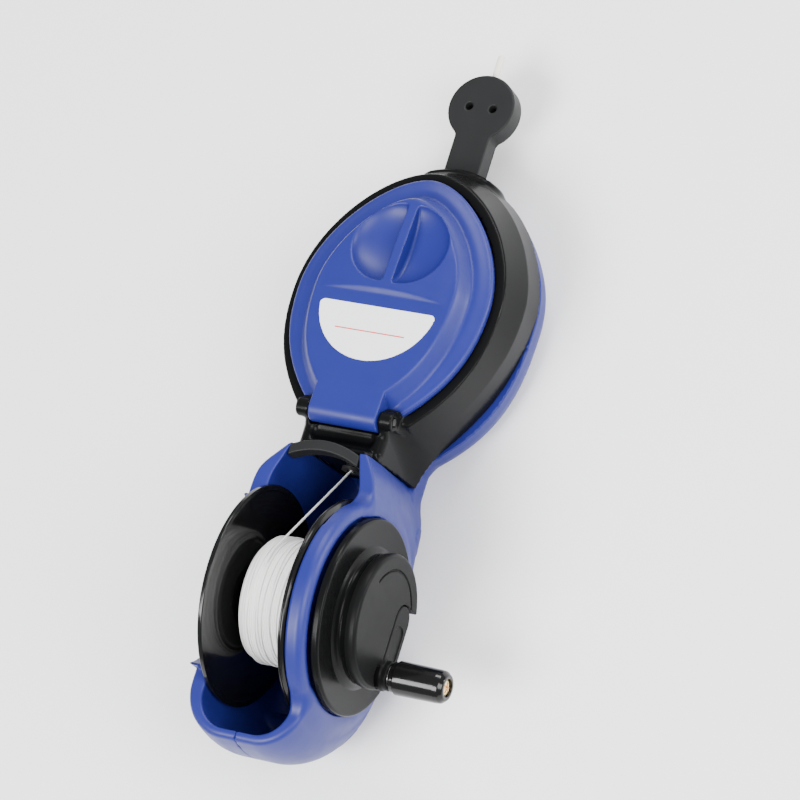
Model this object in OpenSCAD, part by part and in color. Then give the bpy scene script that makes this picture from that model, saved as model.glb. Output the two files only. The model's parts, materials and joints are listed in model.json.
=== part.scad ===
// Hand-wound line reel with an ink pot, lying on its flat back.
// +Y runs from the reel towards the line's end, +Z out of the lid, +X out of the crank side.
// The origin is the point of the back face straight below the reel's axis. Millimetres.

/* [Reel] */
// Outer radius of the two spool flanges
flange_r = 31; // [30:0.25:31.5]
// Thickness of each flange
flange_t = 1.3; // [1:0.1:1.4]
// Half of the clear width between the flanges
spool_half_gap = 11.6; // [11.2:0.1:11.6]
// Radius of the bare drum
drum_r = 8; // [7:0.5:10]
// Radius of the wound line
winding_r = 18; // [14:0.5:18]
// Radius of the steel axle
axle_r = 2.5; // [2:0.1:3]
// Radius of the line itself
line_r = 0.4; // [0.3:0.05:0.5]

/* [Body] */
// Height of the reel's axis over the back face
axle_z = 35; // [34.8:0.1:36]
// Height of the cradle's and neck's rim
rim_z = 45.5; // [44:0.5:47]
// Height of the straight front edge of the left wall
left_wall_z = 48.5; // [48:0.5:50]
// Height of the tray that holds the pot
tray_z = 11; // [10.5:0.1:12]
// Outer radius of the cradle's end about the reel's axis
cradle_r = 43.5; // [43:0.25:45]
// Half of the outer width of the cradle's walls
cradle_half_w = 17.8; // [17:0.1:18]
// Half of the inner width of the reel bay
bay_half_w = 13.4; // [13.4:0.1:13.6]
// Thickness of the body's floor and side walls
wall = 2.5; // [2:0.1:2.8]

/* [Pot and lid] */
// Hinge axis of the lid, along the body
hinge_y = 54.5; // [54:0.1:55]
// Hinge axis of the lid, over the back face
hinge_z = 39.2; // [38.8:0.1:39.6]
// Slope of the lid from hinge to nose, in degrees
lid_tilt = 4.36; // [4:0.1:5]
// Radius of the knuckle at the end of the lid's strap
knuckle_r = 3.6; // [3.2:0.1:3.7]
// Half of the width of the lid's strap
strap_half_w = 10.5; // [10:0.1:10.6]
// Radius of the hinge pin
hinge_pin_r = 1; // [0.8:0.1:1.2]
// Height of the line over the back face inside the pot
line_z = 13.4; // [13.2:0.1:13.6]

/* [Crank] */
// Radius of the crank disc
crank_r = 27.3; // [26:0.25:27.5]
// Radius of the crank cap
cap_r = 18.2; // [17.5:0.1:18.5]
// Distance from the middle plane to the cap's face
cap_face_x = 28.5; // [28:0.1:29]
// Distance from the arm's pivot to the knob's axis
arm_len = 15.3; // [15:0.1:16]
// Radius of the knob
knob_r = 4.8; // [4.5:0.1:5]
// Length of the knob
knob_len = 16.4; // [15:0.1:18]

/* [Line end] */
// Centre of the anchor's disc, along the body
anchor_y = 158.4; // [156:0.2:160]
// Radius of the anchor's disc
anchor_r = 10.2; // [9.5:0.1:11]
// Thickness of the anchor
anchor_t = 6.5; // [6:0.1:6.6]
// Half of the width of the anchor's stem
stem_half_w = 5.45; // [5:0.05:5.5]
// How far the needle's sleeve stands out of the disc
sleeve_len = 7.6; // [6:0.1:9]

/* [Hidden] */
$fn = 64;
eps = 0.01;
big = 400;
blue = [0.24, 0.32, 0.67];
black = [0.08, 0.08, 0.09];
dark_grey = [0.22, 0.22, 0.23];
steel = [0.75, 0.75, 0.77];
brass = [0.78, 0.6, 0.3];
white = [0.93, 0.93, 0.92];
ivory = [0.9, 0.87, 0.78];

flange_x = spool_half_gap + flange_t;
ring_x = 18.8;
ring_r = 30.65;
boss_r = 8;
bush_r = 4.5;
shaft_gap = 0.06;
disc_back_x = 19.55;
disc_face_x = 21.85;
neck_top_x = 25;
arm_z = -9.2;
arm_pivot_y = 3;
arm_half_w = 4.5;
knob_y = arm_pivot_y - arm_len;
knob_x = 30.8;
knob_end_x = knob_x + knob_len;
neck_end_y = 43;
neck_inner_w = 10.4;
neck_outer_w = 13;
neck_len = 12;
inlet_z = 26;
// Fall of the line inside the neck: [along the body, over the back face] of its start, and its angle
fall_start = [50.6, 25];
fall_angle = 46.7;
fall_len = 14.6;
// Rounding of the back's edges: [height over the back face, how far the side stands in]
back_steps = [[0, 6.2], [1.6, 4.3], [4, 2.5], [7.5, 1], [12, 0]];
back_top = 12;
slice_overlap = 0.05;
// Top of the space cut for the reel, above everything in it
bay_top = 69;
// How square the barrel's rounding is: 1 is a circle, less is squarer
barrel_power = 0.67;
left_corner_y = 25;
left_dip_z = 42;
pot_floor_z = 9;
floor_t = 2;
pot_wall = 2.9;
ear_r = 2.7;
ear_x = 10.9;
ear_w = 3.9;
anchor_z = 13.4;
socket_y = 133.6;
nose_y = 138.6;
seal_t = 2;
seal_in = 2;
lid_rim_top = -1.6;
lid_rim_low = -4.1;
plateau_top = 3.9;
screw_r = 1.45;
head_r = 2.8;
// Side clamp screws: [along the body, over the back face, head seat]
clamp_screws = [[-28.5, 5.9, -12.5], [31, 6.2, -11], [54, 5.8, -10]];
// Pot screws: [across, along the body]
pot_posts = [[-18, 74], [18, 74], [-18, 114], [18, 114]];

// Egg outlines: [top y, half width, its y, top handle, upper handle, lower handle,
//                end y, end half width, end handle x, end handle y]
tray_egg = [138.6, 34.3, 96, 13, 22, 22, 50.7, 13.3, 27.2, 62.8];
pot_egg = [137.3, 33.8, 100, 22, 11, 29.5, 47, 11.4, 18.1, 59];
mouth_egg = [131, 32, 92, 11, 18, 13, 56.5, 15.2, 27.3, 68.5];
lid_egg = [128.3, 29.3, 92, 11, 18, 12.5, 58.4, 14.4, 24.9, 69];
inside_egg = [125, 31.4, 97, 20, 11, 22, 61, 16, 22, 66];
wad_egg = [119.5, 26, 96, 16, 10, 20, 63, 13, 19, 70];

function curve(a, b, c, d, n = 10) = [for (i = [0 : n - 1]) let (t = i / n)
    pow(1 - t, 3) * a + 3 * pow(1 - t, 2) * t * b + 3 * (1 - t) * t * t * c + pow(t, 3) * d];

// Right-hand side of an egg outline, moved inwards by d
function egg_side(e, d = 0) = concat(
    curve([0, e[0] - d], [e[3], e[0] - d], [e[1] - d, e[2] + e[4]], [e[1] - d, e[2]]),
    curve([e[1] - d, e[2]], [e[1] - d, e[2] - e[5]], [e[8] - d, e[9] + d * 0.5], [e[7] - d, e[6] + d]),
    [[e[7] - d, e[6] + d]]);

// A right-hand side of points joined with its mirror image
function both_sides(s) = concat(s,
    [for (i = [len(s) - 1 : -1 : 0]) if (s[i][0] > eps) [-s[i][0], s[i][1]]]);

module egg(e, d = 0) {
    polygon(both_sides(egg_side(e, d)));
}

// A cylinder along X from x0 to x1, about the reel's axis or another one
module rod_x(r, x0, x1, y = 0, z = axle_z) {
    translate([x0, y, z]) rotate([0, 90, 0]) cylinder(r = r, h = x1 - x0);
}

module rod_y(r, y0, y1, x = 0, z = line_z) {
    translate([x, y0, z]) rotate([-90, 0, 0]) cylinder(r = r, h = y1 - y0);
}

// A profile of [distance along X, radius] points turned about the reel's axis
module turned_x(profile, y = 0, z = axle_z) {
    translate([0, y, z]) rotate([0, 90, 0]) rotate_extrude($fn = 96)
        polygon([for (p = profile) [p[1], p[0]]]);
}

module half(side) {
    translate([side > 0 ? 0 : -big, -big, -big]) cube([big, 2 * big, 2 * big]);
}

// Outline of the neck and cradle seen from the front, outside or inside
module bay_plan(waist_w, side_w, y_top) {
    polygon(both_sides(concat(
        [[waist_w, y_top]],
        curve([waist_w, 42], [waist_w + 1, 37], [side_w, 36], [side_w, 24]),
        [[side_w, -cradle_r - 1]])));
}

// Drum about the reel's axis with well rounded edges, which shapes the cradle's end
module barrel(w, r, drop) {
    steps = 12;
    side = [for (i = [0 : steps]) let (a = 90 * i / steps)
        [w * pow(sin(a), barrel_power), r - drop + drop * pow(cos(a), barrel_power)]];
    turned_x(concat([[-w, 0]], [for (i = [steps : -1 : 1]) [-side[i][0], side[i][1]]], side, [[w, 0]]));
}

// The neck beyond the barrel, from the reel's axis towards the pot
module neck_block(w) {
    translate([-w, 20, -1]) cube([2 * w, 30, bay_top + 1]);
}

// Outline of the cradle seen from the side: flat back and a round end about the reel's axis
module bay_side(r, low, high, y_top) {
    steps = 16;
    top = asin((high - axle_z) / r);
    bottom = asin((axle_z - low) / r);
    angles = [for (i = [0 : steps]) top * (1 - i / steps) - bottom * i / steps];
    polygon(concat([for (a = angles) [-r * cos(a), axle_z + r * sin(a)]], [[y_top, low], [y_top, high]]));
}

module side_extrude(w) {
    translate([-w, 0, 0]) rotate([90, 0, 90]) linear_extrude(2 * w) children();
}

// Rounds the back's edges: stacked slices of a plan whose half width is w, narrowed towards the back
module rounded_back(w, centre_y, y_too = true) {
    for (i = [0 : len(back_steps) - 2]) {
        low = (w - back_steps[i][1]) / w;
        high = (w - back_steps[i + 1][1]) / w;
        start = back_steps[i][0] - (i > 0 ? slice_overlap : 0);
        translate([0, centre_y, start])
            linear_extrude(back_steps[i + 1][0] - start, slices = 1,
                scale = [high / low, y_too ? high / low : 1])
            scale([low, y_too ? low : 1]) translate([0, -centre_y]) children();
    }
}

module bay_outside() {
    intersection() {
        union() {
            rounded_back(cradle_half_w, 0, false) bay_plan(neck_outer_w, cradle_half_w, neck_end_y);
            translate([0, 0, back_top - eps]) linear_extrude(rim_z - back_top + eps)
                bay_plan(neck_outer_w, cradle_half_w, neck_end_y);
        }
        union() {
            barrel(cradle_half_w + 0.4, cradle_r, 16);
            neck_block(neck_outer_w + 1);
        }
        side_extrude(cradle_half_w + 1) bay_side(cradle_r, 0, rim_z, neck_end_y);
    }
}

module bay_inside() {
    intersection() {
        linear_extrude(bay_top) bay_plan(neck_inner_w, bay_half_w, neck_end_y + 3);
        union() {
            barrel(bay_half_w + 0.4, cradle_r - wall, 9);
            neck_block(neck_inner_w + 0.1);
        }
        side_extrude(bay_half_w + 1) bay_side(cradle_r - wall, wall + 0.7, bay_top, neck_end_y + 3);
    }
}

// Wall disc and raised ring round the crank, on the right
module right_ring() {
    turned_x([[bay_half_w - 1, 0], [bay_half_w - 1, ring_r], [15.6, ring_r], [17.2, ring_r - 0.8],
        [ring_x, ring_r - 2.4], [ring_x, ring_r - 3.2], [16, ring_r - 3.4], [16, 0]]);
    rod_x(boss_r, bay_half_w - 1, ring_x);
}

module left_ring() {
    intersection() {
        mirror([1, 0, 0]) right_ring();
        translate([-big / 2, -left_corner_y, 0]) cube([big, 2 * left_corner_y, left_wall_z]);
    }
}

// Dip in the left wall's top between two pointed corners
module left_opening() {
    translate([-big, 0, 0]) rotate([90, 0, 90]) linear_extrude(big)
        polygon(both_sides([[left_corner_y, left_wall_z + 1], [left_corner_y, left_wall_z - 0.5],
            [left_corner_y - 1.5, left_wall_z - 3], [left_corner_y - 3.5, left_wall_z - 5.5],
            [left_corner_y - 6, left_dip_z]]));
}

module tray_outside() {
    intersection() {
        rounded_back(tray_egg[1], 94) egg(tray_egg);
        translate([-big / 2, 0, 0]) cube([big, big, tray_z]);
    }
    intersection() {
        rounded_back(neck_outer_w, 0, false) translate([-neck_outer_w, 40]) square([2 * neck_outer_w, 16]);
        translate([-big / 2, 0, 0]) cube([big, big, tray_z]);
    }
}

// The recess fits the pot's floor, and is narrower and deeper below it
module tray_inside() {
    intersection() {
        union() {
            translate([0, 0, 7.5]) linear_extrude(tray_z) egg(tray_egg, 2.2);
            translate([0, 0, wall]) linear_extrude(tray_z) egg(tray_egg, 6);
        }
        linear_extrude(big) egg(pot_egg, 1.3);
    }
    translate([-neck_inner_w, 38, 7.5]) cube([2 * neck_inner_w, 18, tray_z]);
    translate([-neck_inner_w + 2, 38, wall + 0.7]) cube([2 * neck_inner_w - 4, 18, tray_z]);
}

// Bosses and bores for the clamp screws, which run across the body
module clamp_bosses() {
    for (s = clamp_screws) rod_x(3.2, -cradle_half_w, cradle_half_w, s[0], s[1]);
}

module clamp_bores() {
    for (s = clamp_screws) {
        rod_x(screw_r + 0.05, s[2] - 1, 10, s[0], s[1]);
        rod_x(head_r + 0.1, -big / 2, s[2], s[0], s[1]);
    }
}

module pot_screw_bores() {
    for (p = pot_posts) {
        translate([p[0], p[1], -eps]) cylinder(r = screw_r + 0.15, h = wall + 1);
        translate([p[0], p[1], -eps]) cylinder(r = head_r + 0.2, h = 1.5);
    }
}

module body_shell(side) {
    difference() {
        intersection() {
            union() {
                difference() {
                    union() {
                        tray_outside();
                        bay_outside();
                        if (side > 0) right_ring();
                        if (side < 0) left_ring();
                    }
                    tray_inside();
                    bay_inside();
                    if (side < 0) left_opening();
                }
                intersection() {
                    clamp_bosses();
                    union() {
                        bay_outside();
                        tray_outside();
                    }
                }
            }
            half(side);
        }
        clamp_bores();
        pot_screw_bores();
        flat_slot(12.7, 4.9, 128, 150);
        rod_x(bush_r, -ring_x + 2.2, ring_x + 1);
        rod_x(6, -ring_x - 1, -ring_x + 2.2);
    }
}

module left_body_shell() {
    color(blue) body_shell(-1);
}

module right_body_shell() {
    color(blue) body_shell(1);
}

module body_screws() {
    color(steel) for (s = clamp_screws) {
        rod_x(screw_r, s[2] - 0.5, 9.6, s[0], s[1]);
        rod_x(head_r, s[2] - 2, s[2] - 0.05, s[0], s[1]);
    }
}

module pot_screws() {
    color(steel) for (p = pot_posts) {
        translate([p[0], p[1], 0.2]) cylinder(r = head_r, h = 1.25);
        translate([p[0], p[1], 1]) cylinder(r = screw_r, h = 8.3);
    }
}

// Places children in the lid's own frame: hinge axis along X through its origin
module in_lid_frame() {
    translate([0, hinge_y, hinge_z]) rotate([-lid_tilt, 0, 0]) children();
}

// An egg outline of the row frame as a plate in the lid's frame
module lid_plate(e, d, low, high) {
    in_lid_frame() translate([0, -hinge_y, low]) linear_extrude(high - low) egg(e, d);
}

module pot_outside() {
    hull() {
        translate([0, 0, tray_z]) linear_extrude(0.2) egg(pot_egg);
        lid_plate(mouth_egg, 0, lid_rim_low - 0.4, lid_rim_low - 0.2);
    }
    translate([0, 0, pot_floor_z]) linear_extrude(floor_t + eps) intersection() {
        egg(pot_egg, 1.6);
        egg(tray_egg, 2.5);
    }
}

module pot_inside() {
    hull() {
        translate([0, 0, pot_floor_z + floor_t]) linear_extrude(0.2) egg(inside_egg);
        lid_plate(mouth_egg, pot_wall, lid_rim_low - 0.2, lid_rim_low + 3);
    }
}

// Nose block between the pot and the reel bay, with the saddle behind the lip
module pot_neck() {
    translate([-neck_outer_w, neck_end_y, tray_z + 0.02])
        cube([2 * neck_outer_w, neck_len, 32 + pot_floor_z - tray_z]);
    translate([-neck_inner_w + 0.3, neck_end_y, pot_floor_z])
        cube([2 * neck_inner_w - 0.6, neck_len, 5]);
    translate([-neck_inner_w + 0.1, 39.6, rim_z - 3.2]) cube([2 * neck_inner_w - 0.2, 3.9, 3.2]);
    translate([-neck_outer_w, neck_end_y, rim_z - 8]) cube([2 * neck_outer_w, 1.6, 8]);
}

module pot_ears() {
    for (side = [-1, 1]) {
        x0 = side > 0 ? ear_x : -ear_x - ear_w;
        rod_x(ear_r, x0, x0 + ear_w, hinge_y, hinge_z);
        translate([x0, hinge_y - ear_r, hinge_z - 8]) cube([ear_w, 2 * ear_r, 8]);
    }
}

// Collar with a wide flat mouth round the anchor's stem
module nose_collar() {
    translate([-8.2, 122, pot_floor_z]) cube([16.4, socket_y - 121, 8]);
    intersection() {
        translate([0, 0, pot_floor_z]) linear_extrude(9)
            polygon(both_sides([[13, 130], [12, 135], [9, nose_y - 0.4], [6, nose_y]]));
        flat_slot(12.4, 4.6, 128, 150);
    }
}

// Bar with half-round sides along Y, centred on the anchor's stem
module flat_slot(half_w, half_h, y0, y1) {
    translate([-half_w + half_h, y0, anchor_z - half_h]) cube([2 * (half_w - half_h), y1 - y0, 2 * half_h]);
    for (side = [-1, 1]) rod_y(half_h, y0, y1, side * (half_w - half_h), anchor_z);
}

module ink_pot() {
    color(black) difference() {
        union() {
            difference() {
                union() {
                    pot_outside();
                    pot_neck();
                }
                pot_inside();
                translate([-neck_outer_w + 2, neck_end_y + 2.2, pot_floor_z - eps])
                    cube([2 * neck_outer_w - 4, neck_len - 1, 24]);
            }
            rod_y(3.2, neck_end_y, 49.2, 0, inlet_z);
            pot_ears();
            nose_collar();
            for (p = pot_posts) translate([p[0], p[1], wall + 0.1]) cylinder(r = 3, h = pot_floor_z - wall);
        }
        rod_x(knuckle_r + 1.3, -ear_x, ear_x, hinge_y, hinge_z);
        rod_x(5.2, -20, 20, 47.8, 45.6);
        rod_x(hinge_pin_r + 0.02, -20, 20, hinge_y, hinge_z);
        rod_y(2.05, neck_end_y - 1, 50, 0, inlet_z);
        rod_y(1.1, 59.5, 66);
        translate([0, fall_start[0], fall_start[1]]) rotate([-90 - fall_angle, 0, 0])
            cylinder(r = 1.1, h = fall_len + 0.6);
        flat_slot(10.8, 3.55, socket_y + 1.6, 150);
        rod_y(2.05, 127, socket_y + 1);
        rod_y(1.1, 120, 128);
        translate([-stem_half_w - 0.3, socket_y, anchor_z - anchor_t / 2 - 0.3])
            cube([2 * stem_half_w + 0.6, 10, anchor_t + 0.6]);
        for (p = pot_posts) translate([p[0], p[1], 0]) cylinder(r = screw_r + 0.05, h = pot_floor_z + 0.5);
    }
}

module lid_strap() {
    in_lid_frame() {
        translate([-strap_half_w, 0, lid_rim_top - 0.6])
            cube([2 * strap_half_w, 17, knuckle_r - lid_rim_top + 0.6]);
        translate([-strap_half_w, 0, 0]) rotate([0, 90, 0]) cylinder(r = knuckle_r, h = 2 * strap_half_w);
    }
}

module lid_dimples() {
    in_lid_frame() for (side = [-1, 1]) intersection() {
        translate([side * 3, 51.5, 23.2]) sphere(r = 22.5, $fn = 96);
        translate([side > 0 ? 1.3 : -31.3, 30, 0]) cube([30, 40, 10]);
    }
}

module lid() {
    color(blue) difference() {
        union() {
            lid_plate(lid_egg, 0, lid_rim_low, lid_rim_top);
            hull() {
                lid_plate(lid_egg, 4.5, lid_rim_top - 0.1, lid_rim_top);
                lid_plate(lid_egg, 7.5, plateau_top - 0.1, plateau_top);
            }
            lid_strap();
        }
        lid_dimples();
        lid_plate(lid_egg, 5.5, lid_rim_low - 1, lid_rim_top + 0.4);
        in_lid_frame() translate([-20, 0, 0]) rotate([0, 90, 0]) cylinder(r = hinge_pin_r + 0.06, h = 40);
        in_lid_frame() translate([-11, -8, -12]) cube([22, 8.5 + 3.3, 12 - knuckle_r - 0.3]);
    }
}

module lid_seal() {
    color(dark_grey) difference() {
        lid_plate(lid_egg, seal_in, lid_rim_low - 2.2, lid_rim_low);
        lid_plate(lid_egg, seal_in + seal_t, lid_rim_low - 3, lid_rim_low + 1);
    }
}

module hinge_pin() {
    color(steel) rod_x(hinge_pin_r, -ear_x - ear_w, ear_x + ear_w, hinge_y, hinge_z);
}

module lid_label() {
    color(white) in_lid_frame() translate([0, 33.1, plateau_top]) linear_extrude(0.3) intersection() {
        circle(r = 18.1, $fn = 96);
        translate([-20, -21.5]) square([40, 20]);
    }
}

// Part of an ink pad between two heights, with half of the line's channel along it
module wad(low, high) {
    difference() {
        intersection() {
            translate([0, 0, low]) linear_extrude(high - low) egg(wad_egg);
            translate([-big / 2, line_split_y, 0]) cube([big, big, big]);
        }
        rod_y(line_r + 0.35, 55, 130);
    }
}

module lower_wad() {
    color(ivory) wad(pot_floor_z + floor_t + 0.02, line_z);
}

module upper_wad() {
    color(ivory) wad(line_z, line_z + 8);
}

module inlet_eyelet() {
    color(brass) difference() {
        union() {
            rod_y(2, neck_end_y - 0.5, 49, 0, inlet_z);
            rod_y(2.9, neck_end_y - 0.9, neck_end_y - 0.02, 0, inlet_z);
        }
        rod_y(0.8, 40, 52, 0, inlet_z);
        translate([0, neck_end_y - 1, inlet_z]) rotate([-90, 0, 0]) cylinder(r1 = 1.5, r2 = 0.8, h = 1);
    }
}

module outlet_nozzle() {
    color(brass) difference() {
        rod_y(2, 128.2, socket_y - 0.05);
        rod_y(0.8, 120, 140);
    }
}

module spool_drum() {
    color(black) difference() {
        union() {
            turned_x([[-flange_x, 0], [-flange_x, flange_r - 0.4], [-flange_x + 0.4, flange_r],
                [-spool_half_gap - 0.4, flange_r], [-spool_half_gap, flange_r - 0.4],
                [-spool_half_gap, 0]]);
            rod_x(drum_r, -spool_half_gap - 0.1, spool_half_gap - 0.02);
        }
        rod_x(axle_r + 0.02, -20, 20);
        translate([0, 0, axle_z - drum_r - 1]) cylinder(r = 0.77, h = 2 * drum_r + 2);
    }
}

module spool_right_flange() {
    color(black) difference() {
        turned_x([[flange_x, 0], [flange_x, flange_r - 0.4], [flange_x - 0.4, flange_r],
            [spool_half_gap + 0.4, flange_r], [spool_half_gap, flange_r - 0.4], [spool_half_gap, 0]]);
        rod_x(axle_r + 0.02, 0, 20);
    }
}

module drive_pin() {
    color(steel) translate([0, 0, axle_z - drum_r + 0.2]) cylinder(r = 0.75, h = 2 * drum_r - 0.4);
}

module reel_axle() {
    color(steel) difference() {
        rod_x(axle_r, -18.2, 22.8);
        translate([0, 0, axle_z - 10]) cylinder(r = 0.77, h = 20);
        rod_x(1.22, 15, 23);
        rod_x(axle_r + 1, -17.5, -16.9);
    }
    color(steel) rod_x(axle_r - 0.5, -17.6, -16.8);
}

module bush(x0, x1) {
    difference() {
        rod_x(bush_r - 0.02, x0, x1);
        rod_x(axle_r + shaft_gap, x0 - 1, x1 + 1);
    }
}

module left_axle_bush() {
    color(brass) bush(-ring_x + 2.25, -bay_half_w);
}

module right_axle_bush() {
    color(brass) bush(bay_half_w, ring_x + 0.4);
}

module thrust_washers() {
    color(steel) for (x = [-bay_half_w + 0.05, flange_x + 0.05]) difference() {
        rod_x(5.5, x, x + bay_half_w - flange_x - 0.1);
        rod_x(axle_r + shaft_gap, x - 1, x + 2);
    }
}

module axle_clip() {
    color(steel) difference() {
        rod_x(4.4, -17.45, -16.95);
        rod_x(axle_r - 0.48, -20, -10);
    }
}

module line_winding() {
    color(white) difference() {
        turned_x([[-8.7, drum_r], [-8.7, winding_r - 1.2], [-7.9, winding_r - 0.3], [-6, winding_r],
            [spool_half_gap - 0.3, winding_r], [spool_half_gap - 0.05, winding_r - 0.6],
            [spool_half_gap - 0.05, drum_r]]);
        rod_x(drum_r + 0.02, -20, 20);
    }
}

// Route of the line from the winding through the inlet into the pot
lead_angle = 53;
lead_start = [-3, (winding_r + 0.7) * cos(lead_angle), axle_z + (winding_r + 0.7) * sin(lead_angle)];
line_split_y = 62;
fall_end = [fall_start[0] + fall_len * cos(fall_angle), fall_start[1] - fall_len * sin(fall_angle)];
lead_points = [lead_start, [-0.15, 41.4, 26.8], [0, 42.2, 26.3], [0, 43, inlet_z], [0, 48.8, inlet_z],
    [0, 49.8, 25.7], [0, fall_start[0], fall_start[1]], [0, fall_end[0], fall_end[1]],
    [0, 61.3, line_z + 0.2], [0, line_split_y, line_z]];

function unit(v) = v / norm(v);

// A tube of radius r with eight sides along a route
module tube(route, r) {
    sides = 8;
    last = len(route) - 1;
    rings = [for (i = [0 : last]) let (
        t = unit(route[min(i + 1, last)] - route[max(i - 1, 0)]),
        n = unit(cross(t, [1, 0, 0])),
        b = cross(t, n))
        for (k = [0 : sides - 1]) route[i] + r * (cos(k * 360 / sides) * n + sin(k * 360 / sides) * b)];
    walls = [for (i = [0 : last - 1], k = [0 : sides - 1]) let (m = (k + 1) % sides)
        [i * sides + k, i * sides + m, (i + 1) * sides + m, (i + 1) * sides + k]];
    polyhedron(rings, concat(walls, [[for (k = [sides - 1 : -1 : 0]) k]],
        [[for (k = [0 : sides - 1]) last * sides + k]]));
}

module line_lead() {
    color(white) tube(lead_points, line_r);
}

module line_run() {
    color(white) {
        rod_y(line_r, line_split_y + 0.2, 144, $fn = 24);
        translate([0, 144, line_z]) sphere(r = 1.1, $fn = 32);
    }
}

module crank_disc() {
    color(black) difference() {
        turned_x([[disc_back_x, 0], [disc_back_x, crank_r - 0.5], [disc_back_x + 0.5, crank_r],
            [disc_face_x - 0.8, crank_r], [disc_face_x, crank_r - 0.8], [disc_face_x, cap_r + 0.8],
            [disc_face_x + 0.6, cap_r + 0.2], [disc_face_x + 1.6, cap_r - 0.4], [neck_top_x, cap_r - 0.2],
            [neck_top_x, 0]]);
        rod_x(axle_r + 0.02, 10, 23);
        rod_x(5, 23, 30);
    }
}

module crank_screw() {
    color(steel) {
        rod_x(4.6, 23.02, 24.8);
        rod_x(1.2, 16, 23.1);
    }
}

// The arm's outline, or the room that it folds in, as a flat plate across X
module arm_plate(half_w, x0, x1) {
    hull() {
        rod_x(half_w, x0, x1, arm_pivot_y, axle_z + arm_z);
        rod_x(half_w, x0, x1, knob_y, axle_z + arm_z);
    }
}

module crank_cap() {
    color(black) difference() {
        turned_x([[neck_top_x, 0], [neck_top_x, cap_r], [neck_top_x + 1, cap_r + 0.4],
            [neck_top_x + 2.2, cap_r + 0.3], [cap_face_x - 0.5, cap_r - 0.3], [cap_face_x, cap_r - 1],
            [cap_face_x, 0]]);
        arm_plate(arm_half_w + 0.4, neck_top_x - 1, cap_face_x + 1);
        translate([neck_top_x - 1, -30, axle_z - 30])
            cube([6, 30 + arm_pivot_y + arm_half_w + 0.4, 30 + arm_z]);
    }
}

module crank_arm() {
    color(black) difference() {
        union() {
            arm_plate(arm_half_w, neck_top_x + 0.15, cap_face_x);
            rod_x(4.1, cap_face_x - 1, knob_x - 0.5, knob_y, axle_z + arm_z);
        }
        rod_x(1.56, neck_top_x - 1, cap_face_x - 0.9, arm_pivot_y, axle_z + arm_z);
        rod_x(1.62, neck_top_x - 1, knob_x + 1, knob_y, axle_z + arm_z);
    }
}

module arm_pivot_pin() {
    color(steel) rod_x(1.5, neck_top_x + 0.02, cap_face_x - 1.1, arm_pivot_y, axle_z + arm_z);
}

module knob_washer() {
    color(steel) difference() {
        rod_x(3.4, knob_x - 0.48, knob_x - 0.1, knob_y, axle_z + arm_z);
        rod_x(1.62, knob_x - 2, knob_x + 2, knob_y, axle_z + arm_z);
    }
}

module crank_knob() {
    color(black) difference() {
        turned_x([[knob_x, 0], [knob_x, knob_r - 0.5], [knob_x + 0.5, knob_r], [knob_end_x - 1.6, knob_r],
            [knob_end_x - 0.5, knob_r - 0.5], [knob_end_x, knob_r - 1.6], [knob_end_x, 0]],
            knob_y, axle_z + arm_z);
        rod_x(1.68, knob_x - 1, knob_end_x, knob_y, axle_z + arm_z);
        rod_x(2.5, knob_end_x - 2, knob_end_x + 1, knob_y, axle_z + arm_z);
    }
}

module knob_screw() {
    color(brass) {
        rod_x(1.6, neck_top_x + 0.3, knob_end_x - 1.8, knob_y, axle_z + arm_z);
        difference() {
            rod_x(2.42, knob_end_x - 1.9, knob_end_x - 0.3, knob_y, axle_z + arm_z);
            for (turn = [0, 90]) translate([knob_end_x - 0.3, knob_y, axle_z + arm_z])
                rotate([turn, 0, 0]) cube([1.4, 0.6, 3.4], center = true);
        }
    }
}

module line_anchor() {
    color(dark_grey) difference() {
        union() {
            translate([0, anchor_y, anchor_z - anchor_t / 2]) cylinder(r = anchor_r, h = anchor_t);
            translate([-stem_half_w, socket_y + 0.3, anchor_z - anchor_t / 2])
                cube([2 * stem_half_w, anchor_y - socket_y - 4, anchor_t]);
        }
        for (side = [-1, 1]) translate([side * 3.74, anchor_y, anchor_z]) cylinder(r = 1.15, h = 10);
        rod_y(line_r + 0.1, 120, 144);
        translate([0, 144, anchor_z - anchor_t / 2 - 1]) cylinder(r = 1.7, h = 5.6);
        rod_y(0.52, anchor_y, anchor_y + 20);
    }
}

module anchor_needle() {
    color(steel) rod_y(0.5, anchor_y + 0.5, anchor_y + anchor_r + sleeve_len - 0.9, $fn = 24);
}

module needle_sleeve() {
    color(ivory) difference() {
        union() {
            rod_y(1, anchor_y + anchor_r + 0.1, anchor_y + anchor_r + sleeve_len - 0.5, $fn = 32);
            translate([0, anchor_y + anchor_r + sleeve_len - 1, line_z]) sphere(r = 1, $fn = 32);
        }
        rod_y(0.56, anchor_y + anchor_r - 1, anchor_y + anchor_r + sleeve_len - 0.8, $fn = 24);
    }
}

left_body_shell();
right_body_shell();
body_screws();
ink_pot();
pot_screws();
lid();
lid_seal();
hinge_pin();
lid_label();
lower_wad();
upper_wad();
inlet_eyelet();
outlet_nozzle();
spool_drum();
spool_right_flange();
drive_pin();
reel_axle();
left_axle_bush();
right_axle_bush();
thrust_washers();
axle_clip();
line_winding();
line_lead();
line_run();
crank_disc();
crank_screw();
crank_cap();
crank_arm();
arm_pivot_pin();
knob_washer();
crank_knob();
knob_screw();
line_anchor();
anchor_needle();
needle_sleeve();
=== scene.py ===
import json
import math
import bpy
import numpy as np
from mathutils import Matrix, Vector


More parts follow.
